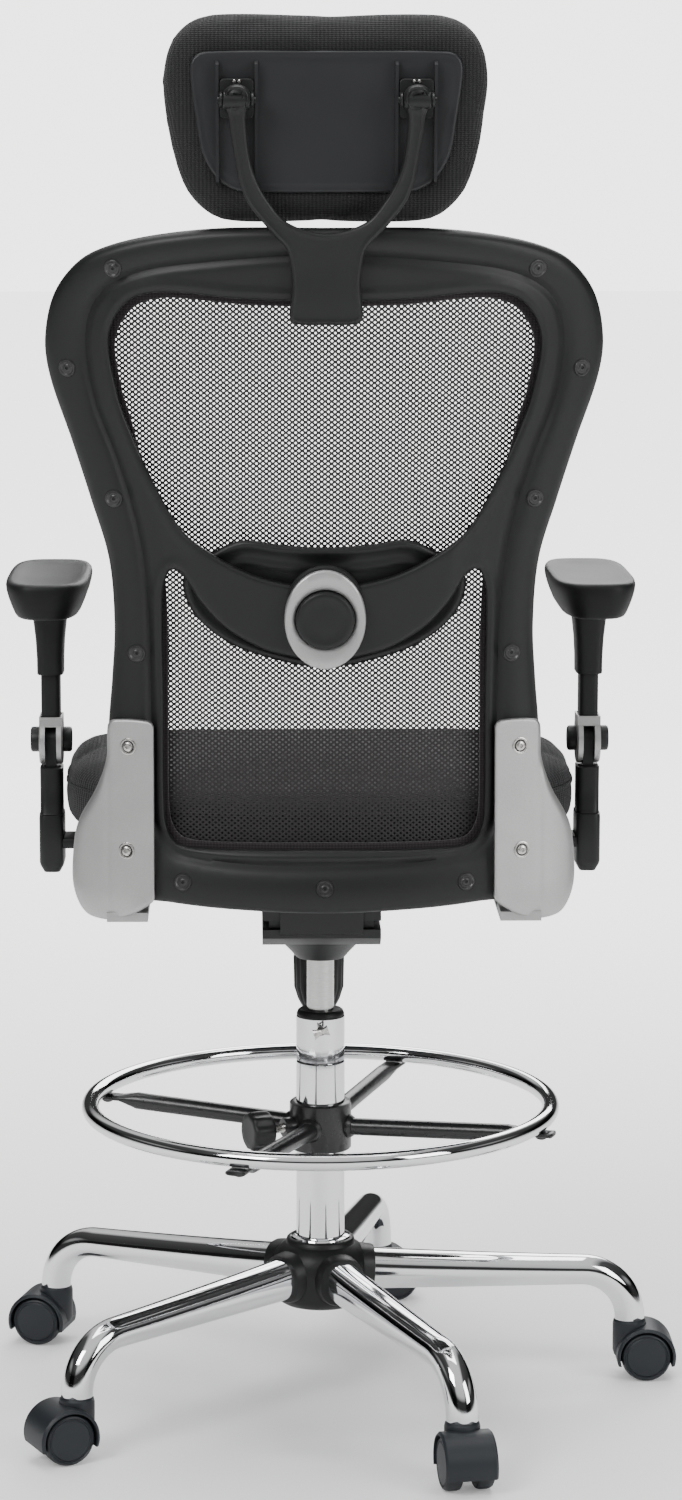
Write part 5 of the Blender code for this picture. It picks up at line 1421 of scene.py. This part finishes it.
def cast_silver():
    """Silver lacquer on cast metal: bright flake under a satin coat."""
    made = Finish("silver_lacquer", Metallic=0.85)
    flake = made.node("ShaderNodeTexVoronoi", {"Vector": made.place, "Scale": 1500.0})
    cloud = made.noise(26.0, 4.0)
    made.set(Base_Color=made.blend(flake * 0.6 + cloud * 0.4, (0.40, 0.40, 0.405), (0.58, 0.575, 0.565)))
    made.set(Roughness=0.40 + 0.12 * cloud)
    made.bump(flake + 2.0 * made.noise(380.0), 0.00005)
    return made.material


silver = cast_silver()
bezel_rings = []
for across, up, height in ((0.0385, 0.0480, 0.0082), (0.0390, 0.0485, 0.0096), (0.0390, 0.0485, 0.0140),
                           (0.0384, 0.0479, 0.0155), (0.0372, 0.0466, 0.0163), (0.0345, 0.0400, 0.0160),
                           (0.0302, 0.0306, 0.0150), (0.0292, 0.0292, 0.0140), (0.0290, 0.0290, 0.0082)):
    bezel_rings.append([(a, u, height) for a, u in oval(across, up, 2.0, 96)])
bezel = show("lumbar_bezel", *moved(loft(bezel_rings, closed=True), lumbar_frame), silver)
place(bezel, "seat", "satin_silver", "lumbar_bezel")
boss_shape = turned([(0.0, 0.0060), (0.0360, 0.0060), (0.0360, 0.0100), (0.0345, 0.0118),
                     (0.0, 0.0118)], lumbar_frame @ Matrix.Translation((0.0, 0.0160, 0.0)), 72)
lumbar_boss = show("lumbar_boss", *boss_shape, black_plastic)
place(lumbar_boss, "seat", "black_plastic")
knob_face = [(0.0, -0.0030), (0.0064, -0.0030), (0.0064, 0.0098), (0.0268, 0.0098), (0.0280, 0.0112),
             (0.0280, 0.0180), (0.0274, 0.0194), (0.0262, 0.0202), (0.0225, 0.0206), (0.0215, 0.0203),
             (0.0120, 0.0207), (0.0, 0.0208)]
lumbar_knob = show("lumbar_knob", *moved(turned(knob_face, sides=96), lumbar_frame), black_plastic)
place(lumbar_knob, "lumbar_knob", "black_plastic", "lumbar_knob")


# ---------------------------------------------------------------- back brackets
# Silver castings that join back and seat. The flat inner face takes two button-head screws, the outer
# wing swells round the side, and a foot runs forward under the seat pan.
BRACKET = [(0.0, 0.1490), (0.0050, 0.1545), (0.0400, 0.1545), (0.0450, 0.1490), (0.0465, 0.1165),
           (0.0570, 0.0855), (0.0750, 0.0515), (0.0805, 0.0215), (0.0800, -0.0150), (0.0680, -0.0385),
           (0.0450, -0.0435), (0.0250, -0.0375), (0.0040, -0.0240), (0.0, -0.0180), (0.0, 0.0600)]
BRACKET_IN = 0.165
BRACKET_BOLTS = ((0.0250, 0.1295), (0.0270, 0.0275))


def bracket_loop(side):
    spots = curve_round(BRACKET, 0.003)
    return np.stack((side * (BRACKET_IN + np.maximum(spots[:, 0], 0.0)), spots[:, 1]), 1)


def bracket_rear(spots, inward):
    across = np.abs(spots[:, 0]) - BRACKET_IN
    wing = np.clip((across - 0.0440) / 0.038, 0.0, 1.0)
    curl = 0.0095 * (1.0 - np.sqrt(np.maximum(1.0 - wing * wing, 0.0)))
    under = np.clip((-0.008 - spots[:, 1]) / 0.036, 0.0, 1.0)
    dip = 0.0060 * under * under * ease(across, 0.0, 0.03)
    shoulder = 0.0008 * np.exp(-((across - 0.0455) / 0.0020) ** 2)
    radius = 0.0018 + 0.0050 * ease(across, 0.035, 0.060) + 0.0030 * ease(-spots[:, 1], 0.0, 0.03)
    return -0.0095 + curl + dip + shoulder + rounded(inward, radius)


def bracket_front(spots, inward):
    past = distance_to(spots, edge_loop)
    return -0.0002 + 0.0075 * ease(past, 0.001, 0.010) - rounded(inward, 0.0015) * (past < 0.0)


for side, word in ((-1.0, "left"), (1.0, "right")):
    casting = relief([bracket_loop(side)], bracket_rear, bracket_front, 0.003,
                     (0.0006, 0.0014, 0.0026, 0.0042, 0.0064))
    near, far = sorted((AXIS_X + side * 0.172, AXIS_X + side * 0.212))
    foot = block((near, AXIS_Y - 0.212, PAN_Z - 0.0435), (far, AXIS_Y - 0.090, PAN_Z - 0.0345))
    raised = block((near, AXIS_Y - 0.160, PAN_Z - 0.040), (far, AXIS_Y - 0.090, PAN_Z - 0.0003))
    bracket = show(f"bracket_{word}", *joined(casting, foot, raised), silver, 40.0)
    place(bracket, "seat", "satin_silver", f"back_bracket_{word}")

bolt_ring = turned([(0.0052, 0.0), (0.0084, 0.0), (0.0082, 0.0008), (0.0072, 0.0011), (0.0064, 0.0009),
                    (0.0058, 0.0002), (0.0052, 0.0001)], sides=40)
bolt_head = moved(socket_head(0.0048, 0.0023, 0.0024), Matrix.Translation((0.0, 0.0, 0.0001)))
bolt_spots = [on_back(side * (BRACKET_IN + x), z, bracket_rear)
              for x, z in BRACKET_BOLTS for side in (-1.0, 1.0)]
bolts = repeated("bracket_bolts", joined(bolt_ring, bolt_head), bolt_spots, bright_steel)
place(bolts, "seat", "bright_steel", "bracket_bolts_left", "bracket_bolts_right")
# a thin dark disc under each bracket bolt head: painted shade, seen as a dark ring in the gap between the
# head and its bright ring, where a recess would lie in shade
gap_shade_disc = turned([(0.0, 0.0), (0.0058, 0.0), (0.0058, 0.0003), (0.0, 0.0003)], sides=32)
gap_shade_discs = repeated("bolt_wells", gap_shade_disc, bolt_spots, black_oxide_and_gap_shade)
place(gap_shade_discs, "seat", "black_plastic")


# ---------------------------------------------------------------- headrest yoke
# A forked nylon arm screwed to the top of the back frame. A rounded tip on each side holds the
# headrest's hinge, and the outer edge has a fine raised line.
HEAD_X = 0.0826
HEAD_LEAN = math.radians(5.0)
HEAD_AT = (-0.34005, 0.7455)
YOKE_OUTER = [(0.0, 0.5395), (0.0270, 0.5402), (0.0338, 0.5450), (0.0318, 0.5770), (0.0335, 0.5965),
              (0.0370, 0.6102), (0.0477, 0.6222), (0.0588, 0.6343), (0.0740, 0.6545), (0.0812, 0.6748),
              (0.0847, 0.6950), (0.0888, 0.7200), (0.0905, 0.7330), (0.0945, 0.7420), (0.0955, 0.7480),
              (0.0935, 0.7550), (0.0880, 0.7590), (0.0826, 0.7600), (0.0772, 0.7590), (0.0717, 0.7550),
              (0.0697, 0.7480), (0.0710, 0.7415), (0.0738, 0.7330), (0.0740, 0.7250), (0.0708, 0.6950),
              (0.0650, 0.6748), (0.0538, 0.6545), (0.0355, 0.6343), (0.0, 0.6242)]
head_spot = Vector((AXIS_X, AXIS_Y + HEAD_AT[0], PAN_Z + HEAD_AT[1]))
HEAD_FRAME = Matrix.Translation(head_spot) @ Matrix.Rotation(HEAD_LEAN, 4, "X")

yoke_loop = curve_round(both_halves(YOKE_OUTER), 0.0035)
tips = [np.array((side * HEAD_X, 0.7475)) for side in (-1.0, 1.0)]


def yoke_rear(spots, inward):
    ridge = -0.0007 * np.exp(-((inward - 0.0030) / 0.0010) ** 2)
    stem = -0.0016 * ease(0.600 - spots[:, 1], 0.0, 0.045)
    swell = 0.0
    for tip in tips:
        reach = np.linalg.norm(spots - tip, axis=1)
        swell = swell - 0.0030 * (1.0 - ease(reach, 0.0105, 0.0125))
        swell = swell + 0.0014 * np.exp(-((reach - 0.0085) / 0.0010) ** 2)
        offset = np.abs(spots - tip).max(1)
        swell = swell + 0.0032 * (1.0 - ease(offset, 0.0036, 0.0042))
    return -0.0088 + ridge + stem + swell + rounded(inward, 0.0030)


def yoke_front(spots, inward):
    arm = ease(spots[:, 1], 0.60, 0.66)
    return -0.0003 - 0.0006 * arm - rounded(inward, 0.0024) * ease(spots[:, 1], 0.61, 0.63)


yoke_plate = relief([yoke_loop], yoke_rear, yoke_front, 0.0030, (0.0006, 0.0014, 0.0022, 0.0032, 0.0046))
yoke_parts = [yoke_plate]
for side in (-1.0, 1.0):
    across = HEAD_FRAME @ Matrix.Translation((side * HEAD_X, 0.0, 0.0)) @ Matrix.Rotation(math.pi / 2, 4, "Y")
    barrel = [(0.0, -0.0175), (0.0030, -0.0175), (0.0030, -0.0124), (0.0070, -0.0124), (0.0080, -0.0114),
              (0.0080, 0.0114), (0.0070, 0.0124), (0.0030, 0.0124), (0.0030, 0.0175), (0.0, 0.0175)]
    yoke_parts.append(turned(barrel, across, 40))
yoke = show("headrest_yoke", *joined(*yoke_parts), black_plastic, 42.0)
place(yoke, "seat", "black_plastic", "headrest_yoke")


# ---------------------------------------------------------------- headrest shell and sliders
# The moulded shell is screwed into the cushion. Each slider runs between two ribs on the shell, with a
# pair of bright detent pins, and hangs on the yoke by two ears.
SHELL = [(0.0, 0.0430), (0.1060, 0.0425), (0.1200, 0.0392), (0.1256, 0.0280), (0.1200, -0.0200),
         (0.1140, -0.0520), (0.1000, -0.0750), (0.0826, -0.0850), (0.0600, -0.0868), (0.0, -0.0870)]
shell_loop = curve_round(both_halves(SHELL), 0.004)


def shell_rear(spots, inward):
    dish = 0.0012 * ease(inward, 0.004, 0.030)
    line = 0.0006 * np.exp(-((inward - 0.0050) / 0.0012) ** 2)
    return 0.0262 + dish * 0.5 + line + rounded(inward, 0.0028)


def shell_front(spots, inward):
    return 0.0302 - rounded(inward, 0.0008)


shell_parts = [plate([shell_loop], shell_rear, shell_front, 0.0040)]
for side in (-1.0, 1.0):
    for edge in (-1.0, 1.0):
        near = side * HEAD_X + edge * 0.0165
        far = near + edge * 0.0030
        rib = [(0.0272, -0.0800), (0.0195, -0.0760), (0.0195, 0.0310), (0.0272, 0.0345)]
        shell_parts.append(prism(rib, min(near, far), max(near, far)))
shell_paint = moulded("shell_moulding", (0.014, 0.0145, 0.016), 0.40, 0.00003, 0.40)
shell = show("headrest_shell", *moved(joined(*shell_parts), HEAD_FRAME), shell_paint, 40.0)
place(shell, "headrest", "black_plastic", "headrest_panel")

for side, word in ((-1.0, "left"), (1.0, "right")):
    at = side * HEAD_X
    slider_parts = [prism([(at + x, z) for x, z in round_corners(0.0158, -0.018, 0.018, 0.004)],
                          0.0200, 0.0254, "Y")]
    for edge in (-1.0, 1.0):
        near, far = sorted((at + edge * 0.0130, at + edge * 0.0158))
        ear = [(0.0215, -0.0065), (0.0, -0.0065)]
        for step in range(1, 8):
            turn = math.pi * (1.5 - step / 8.0)
            ear.append((0.0065 * math.cos(turn), 0.0065 * math.sin(turn)))
        ear += [(0.0, 0.0065), (0.0215, 0.0065)]
        slider_parts.append(prism(ear, near, far))
    slider = show(f"headrest_slider_{word}", *moved(joined(*slider_parts), HEAD_FRAME), black_plastic, 30.0)
    soften(slider, 0.0007, 2, 40.0)
    place(slider, "headrest_tilt", "black_plastic", f"headrest_slider_{word}")
pin = turned([(0.0, 0.0), (0.0016, 0.0), (0.0016, 0.0014), (0.0011, 0.0021), (0.0, 0.0024)], sides=16)
rearward = (HEAD_FRAME.to_3x3() @ Vector((0.0, -1.0, 0.0))).normalized()
pin_spots = [(HEAD_FRAME @ Vector((side * HEAD_X + edge * 0.0023, 0.0202, 0.0158)), rearward)
             for side in (-1.0, 1.0) for edge in (-1.0, 1.0)]
pins = repeated("detent_pins", pin, pin_spots, bright_steel)
place(pins, "headrest_tilt", "bright_steel")


# ---------------------------------------------------------------- headrest cushion
# A foam pillow in spacer knit, sewn from a front and a back panel with the seam round its edge.
PILLOW = [(0.0, 0.0775), (0.0950, 0.0765), (0.1250, 0.0700), (0.1445, 0.0510), (0.1525, 0.0200),
          (0.1495, -0.0180), (0.1410, -0.0620), (0.1300, -0.0900), (0.1090, -0.1110), (0.0840, -0.1180),
          (0.0, -0.1195)]
pillow_loop = curve_round(both_halves(PILLOW), 0.005)


def pillow_rear(spots, inward):
    pocket = 0.0022 * (1.0 - ease(distance_to(spots, shell_loop), -0.002, 0.008))
    return 0.0290 + pocket + rounded(inward, 0.0260)


def pillow_front(spots, inward):
    crown = 0.0060 * ease(inward, 0.0, 0.09)
    return 0.0305 + 0.0700 - 0.0130 + crown - rounded(inward, 0.0330)


pillow_shape = plate([pillow_loop], pillow_rear, pillow_front, 0.006, (0.001, 0.003, 0.006, 0.010, 0.016))
head_knit = knit("headrest_knit", 0.0036, (0.0045, 0.0045, 0.0048), (0.030, 0.030, 0.031), 0.0009)
pillow, spots = swollen("headrest_pillow", moved(pillow_shape, HEAD_FRAME), head_knit, 0.0045, 0.0050, 3.0)
to_head = np.array(HEAD_FRAME.inverted())
local = spots @ to_head[:3, :3].T + to_head[:3, 3]
over_shell = 1.0 - ease(distance_to(local[:, (0, 2)], shell_loop), 0.000, 0.010)
behind = local[:, 1] < 0.050
local[:, 1] = np.where(behind, local[:, 1] + over_shell * (np.maximum(local[:, 1], 0.0306) - local[:, 1]),
                       local[:, 1])
seam = np.exp(-((local[:, 1] - 0.0640) / 0.0028) ** 2)
near_rim = 1.0 - ease(-distance_to(local[:, (0, 2)], pillow_loop), -0.002, 0.014)
inwards = local[:, (0, 2)] - np.array((0.0, -0.02))
inwards /= np.maximum(np.linalg.norm(inwards, axis=1), 1e-6)[:, None]
local[:, 0] -= 0.0022 * seam * near_rim * inwards[:, 0]
local[:, 2] -= 0.0022 * seam * near_rim * inwards[:, 1]
to_world = np.array(HEAD_FRAME)
pillow = settled(pillow, local @ to_world[:3, :3].T + to_world[:3, 3])
place(pillow, "headrest", "black_fabric", "headrest_cushion")


# ---------------------------------------------------------------- arm posts
# Moulded posts on steel feet under the seat pan: a boot with chamfered corners, a slimmer upright and
# the tongue that the flip-up joint turns on.
ARM_X = 0.2765
ARM_Y = 0.0350
FLIP_Z = 0.0995


def stack(levels, power=5.0, count=40):
    """An upright skin through rounded rectangles: (height, half width, half depth)."""
    return loft([[(a, b, height) for a, b in oval(wide, deep, power, count)]
                 for height, wide, deep in levels])


POST = [(-0.0368, 0.0070, 0.0180), (-0.0364, 0.0085, 0.0200), (-0.0300, 0.0120, 0.0240),
        (-0.0262, 0.0130, 0.0256), (0.0195, 0.0130, 0.0258), (0.0232, 0.0127, 0.0250),
        (0.0238, 0.0120, 0.0205), (0.0250, 0.0118, 0.0198), (0.0500, 0.0117, 0.0197),
        (0.0712, 0.0118, 0.0198), (0.0722, 0.0110, 0.0190), (0.0725, 0.0100, 0.0180)]
arm_pad_skin = moulded("arm_pad_skin", (0.0075, 0.0077, 0.0082), 0.50, 0.00010, 0.25)


def tongue(half):
    outline = [(0.0138, 0.0700), (-0.0138, 0.0700)]
    for step in range(17):
        turn = math.pi * (1.0 - step / 16.0)
        outline.append((0.0138 * math.cos(turn), FLIP_Z + 0.0138 * math.sin(turn)))
    return prism(outline, -half, half)


def arm_base(side):
    return Matrix.Translation((AXIS_X + side * ARM_X, AXIS_Y + ARM_Y, PAN_Z))


for side, word in ((-1.0, "left"), (1.0, "right")):
    inner, outer = sorted((-side * 0.0095, -side * 0.1110))
    foot = round_corners(0.0218, -0.0118, -0.0003, 0.0030, 3)
    post = joined(stack(POST), prism(foot, inner, outer), tongue(0.0053))
    support = show(f"arm_post_{word}", *moved(post, arm_base(side)), black_plastic, 38.0)
    place(support, "seat", "black_plastic", f"arm_support_{word}")


# ---------------------------------------------------------------- flip joint
# A silver cast knuckle holds the arm's tube and turns on the post's tongue, between two black caps.
KNUCKLE = 0.0255


def knuckle_shape():
    body = show("knuckle", *cross_bar(KNUCKLE, -0.0120, 0.0120, Matrix.Rotation(-math.pi / 2.0, 4, "Z"), 72,
                                      0.0012), silver)
    throat = show("throat", *block((-0.0118, -0.0195, 0.0), (0.0118, 0.0195, 0.0252)), silver)
    room = 0.0152
    slot = [(room, -0.05)]
    for step in range(13):
        turn = math.pi / 2.0 * step / 12.0
        slot.append((room * math.cos(turn), room * math.sin(turn)))
    slot += [(-0.05, room), (-0.05, -0.05)]
    space = show("space", *prism(slot, -0.0059, 0.0059), silver)
    socket = show("socket", *block((-0.0102, -0.0172, 0.0170), (0.0102, 0.0172, 0.05)), silver)
    return carved(body, [space, socket], [throat])


knuckle_parts = knuckle_shape()
CAP = [(0.0, 0.0120), (0.0122, 0.0120), (0.0130, 0.0128), (0.0130, 0.0190), (0.0124, 0.0204),
       (0.0108, 0.0212), (0.0092, 0.0212), (0.0086, 0.0206), (0.0, 0.0206)]
for side, word in ((-1.0, "left"), (1.0, "right")):
    flip = arm_base(side) @ Matrix.Translation((0.0, 0.0, FLIP_Z))
    knuckle = show(f"arm_clamp_{word}", *moved(knuckle_parts, flip), silver, 32.0)
    soften(knuckle, 0.0009, 2, 40.0)
    place(knuckle, f"arm_{word}", "satin_silver", f"arm_clamp_{word}")
    bolt_parts = [turned([(0.0, -0.0125), (0.0044, -0.0125), (0.0044, 0.0125), (0.0, 0.0125)],
                         flip @ Matrix.Rotation(math.pi / 2.0, 4, "Y"), 32)]
    for way in (-1.0, 1.0):
        bolt_parts.append(turned(CAP, flip @ Matrix.Rotation(way * math.pi / 2.0, 4, "Y"), 48))
    bolt = show(f"arm_pivot_bolt_{word}", *joined(*bolt_parts), black_plastic)
    place(bolt, f"arm_{word}", "black_plastic", f"arm_pivot_bolt_{word}")


# ---------------------------------------------------------------- arm tube, sleeve and pad
# The sleeve slides on the tube for height and flares into the pad's carrier. The pad is self-skinned
# foam, dished along the top, with its sides drawn in to the carrier.
TUBE = [(0.0174, 0.0098, 0.0168), (0.0690, 0.0098, 0.0168), (0.1035, 0.0098, 0.0168)]
SLEEVE = [(0.0690, 0.0128, 0.0222), (0.0698, 0.0135, 0.0230), (0.0860, 0.0137, 0.0231),
          (0.1050, 0.0147, 0.0233), (0.1220, 0.0166, 0.0240), (0.1330, 0.0182, 0.0250),
          (0.1369, 0.0185, 0.0252)]
PAD_SQUARE = 3.6
# height, half width and half length up the pad's side
PAD_LEVELS = [(0.1374, 0.0300, 0.1180), (0.1384, 0.0318, 0.1215), (0.1410, 0.0336, 0.1240),
              (0.1480, 0.0366, 0.1268), (0.1560, 0.0396, 0.1288), (0.1630, 0.0415, 0.1296),
              (0.1680, 0.0421, 0.1298), (0.1712, 0.0414, 0.1290), (0.1730, 0.0398, 0.1272)]


def pad_shape():
    """Rings up the pad's side, then across its dished top."""
    rings = []
    for height, wide, deep in PAD_LEVELS:
        rings.append([(a, b, height) for a, b in oval(wide, deep, PAD_SQUARE, 96)])
    for shrink in (0.90, 0.75, 0.55, 0.32, 0.10):
        top = []
        for a, b in oval(0.0398, 0.1272, PAD_SQUARE, 96):
            a, b = a * shrink, b * (1.0 - (1.0 - shrink) * 0.75)
            sag = 0.0042 * (1.0 - (a / 0.040) ** 2) * (1.0 - (b / 0.130) ** 4)
            top.append((a, b, 0.1736 - sag * min((1.0 - shrink) / 0.25, 1.0)))
        rings.append(top)
    return loft(rings)


for side, word in ((-1.0, "left"), (1.0, "right")):
    flip = arm_base(side) @ Matrix.Translation((0.0, 0.0, FLIP_Z))
    tube = show(f"arm_tube_{word}", *moved(stack(TUBE, 6.0), flip), black_plastic, 30.0)
    place(tube, f"arm_{word}", "black_plastic", f"arm_tube_{word}")
    sleeve = show(f"arm_sleeve_{word}", *moved(stack(SLEEVE, 5.0), flip), black_plastic, 38.0)
    place(sleeve, f"arm_rest_{word}", "black_plastic", f"arm_sleeve_{word}")
    pad = show(f"arm_cushion_{word}", *moved(pad_shape(), flip), arm_pad_skin, 60.0)
    place(pad, f"arm_rest_{word}", "arm_pad_rubber", f"arm_pad_{word}")


# ---------------------------------------------------------------- studio
# A pale sweep under soft boxes. The surroundings that the plating mirrors are a bright ceiling, a dark
# band at eye height and a pale floor.
def sweep_paint():
    made = Finish("studio_floor", Roughness=0.9, Specular_IOR_Level=0.1, Emission_Strength=1.0)
    x, y, _ = made.axes()
    reach = ((x * x + y * y).math("SQRT") * 0.25).math("MINIMUM", 1.0)
    made.set(Base_Color=made.blend(reach, (0.88, 0.88, 0.88), (0.90, 0.90, 0.90)))
    direct = made.node("ShaderNodeLightPath", output="Is Camera Ray")
    made.set(Emission_Color=made.blend(reach * direct, (0.0, 0.0, 0.0), (2.6, 2.6, 2.6)))
    return made.material


floor_data = bpy.data.meshes.new("floor")
floor_data.from_pydata([(-30.0, -30.0, 0.0), (30.0, -30.0, 0.0), (30.0, 30.0, 0.0), (-30.0, 30.0, 0.0)],
                       [], [(0, 1, 2, 3)])
floor = bpy.data.objects.new("floor", floor_data)
bpy.context.scene.collection.objects.link(floor)
floor_data.materials.append(sweep_paint())

world = bpy.data.worlds.new("studio")
bpy.context.scene.world = world
world.use_nodes = True
sky = Nodes(world.node_tree)
direction = sky.node("ShaderNodeTexCoord", output="Generated")
parted = sky.node("ShaderNodeSeparateXYZ", {"Vector": direction}).socket.node.outputs
across, _, upward = [Wire(sky.tree, out) for out in parted]
room = sky.node("ShaderNodeValToRGB", {"Fac": upward * 0.5 + 0.5},
                stops=[(0.46, 0.80), (0.50, 0.45), (0.53, 0.045), (0.63, 0.05), (0.70, 0.75), (0.88, 0.95)])
sides = sky.node("ShaderNodeValToRGB", {"Fac": abs(across)},
                 stops=[(0.40, 1.0), (0.56, 0.10), (0.86, 0.06), (0.97, 0.9)])
room = sky.node("ShaderNodeMix", {0: 1.0, 6: room, 7: sides}, 2, data_type="RGBA",
                blend_type="MULTIPLY")
seen = sky.node("ShaderNodeLightPath", output="Is Camera Ray")
plain = sky.node("ShaderNodeBackground", {"Color": (1.0, 1.0, 1.0), "Strength": 3.4})
studio = sky.node("ShaderNodeBackground", {"Color": room, "Strength": 0.85})
choice = sky.node("ShaderNodeMixShader", {0: seen, 1: studio, 2: plain})
feed(sky.tree, sky.tree.nodes["World Output"].inputs["Surface"], choice)


def soft_box(name, place_at, look_at, width, height, power):
    light = bpy.data.lights.new(name, "AREA")
    light.shape = "RECTANGLE"
    light.size = width
    light.size_y = height
    light.energy = power
    lamp = bpy.data.objects.new(name, light)
    bpy.context.scene.collection.objects.link(lamp)
    lamp.location = place_at
    aim = Vector(look_at) - Vector(place_at)
    lamp.rotation_euler = aim.to_track_quat("-Z", "Y").to_euler()


soft_box("key", (-2.2, -2.6, 3.0), (0.0, 0.0, 0.8), 1.6, 1.6, 95.0)
soft_box("fill", (2.6, -2.2, 1.8), (0.0, 0.0, 0.7), 1.4, 2.0, 55.0)
soft_box("top", (0.0, 0.4, 3.2), (0.0, 0.0, 0.7), 2.2, 2.2, 70.0)
soft_box("front", (0.6, 3.0, 2.2), (0.0, 0.0, 0.8), 2.0, 2.0, 60.0)

camera_data = bpy.data.cameras.new("camera")
camera_data.sensor_width = 36.0
camera_data.lens = 94.3
camera_data.shift_x = 0.0137
camera_data.dof.use_dof = False
camera = bpy.data.objects.new("camera", camera_data)
bpy.context.scene.collection.objects.link(camera)
camera.location = (AXIS_X - 0.0714, AXIS_Y - 3.973, 1.2945)
camera.rotation_euler = (math.radians(81.16), 0.0, math.radians(-1.03))
bpy.context.scene.camera = camera
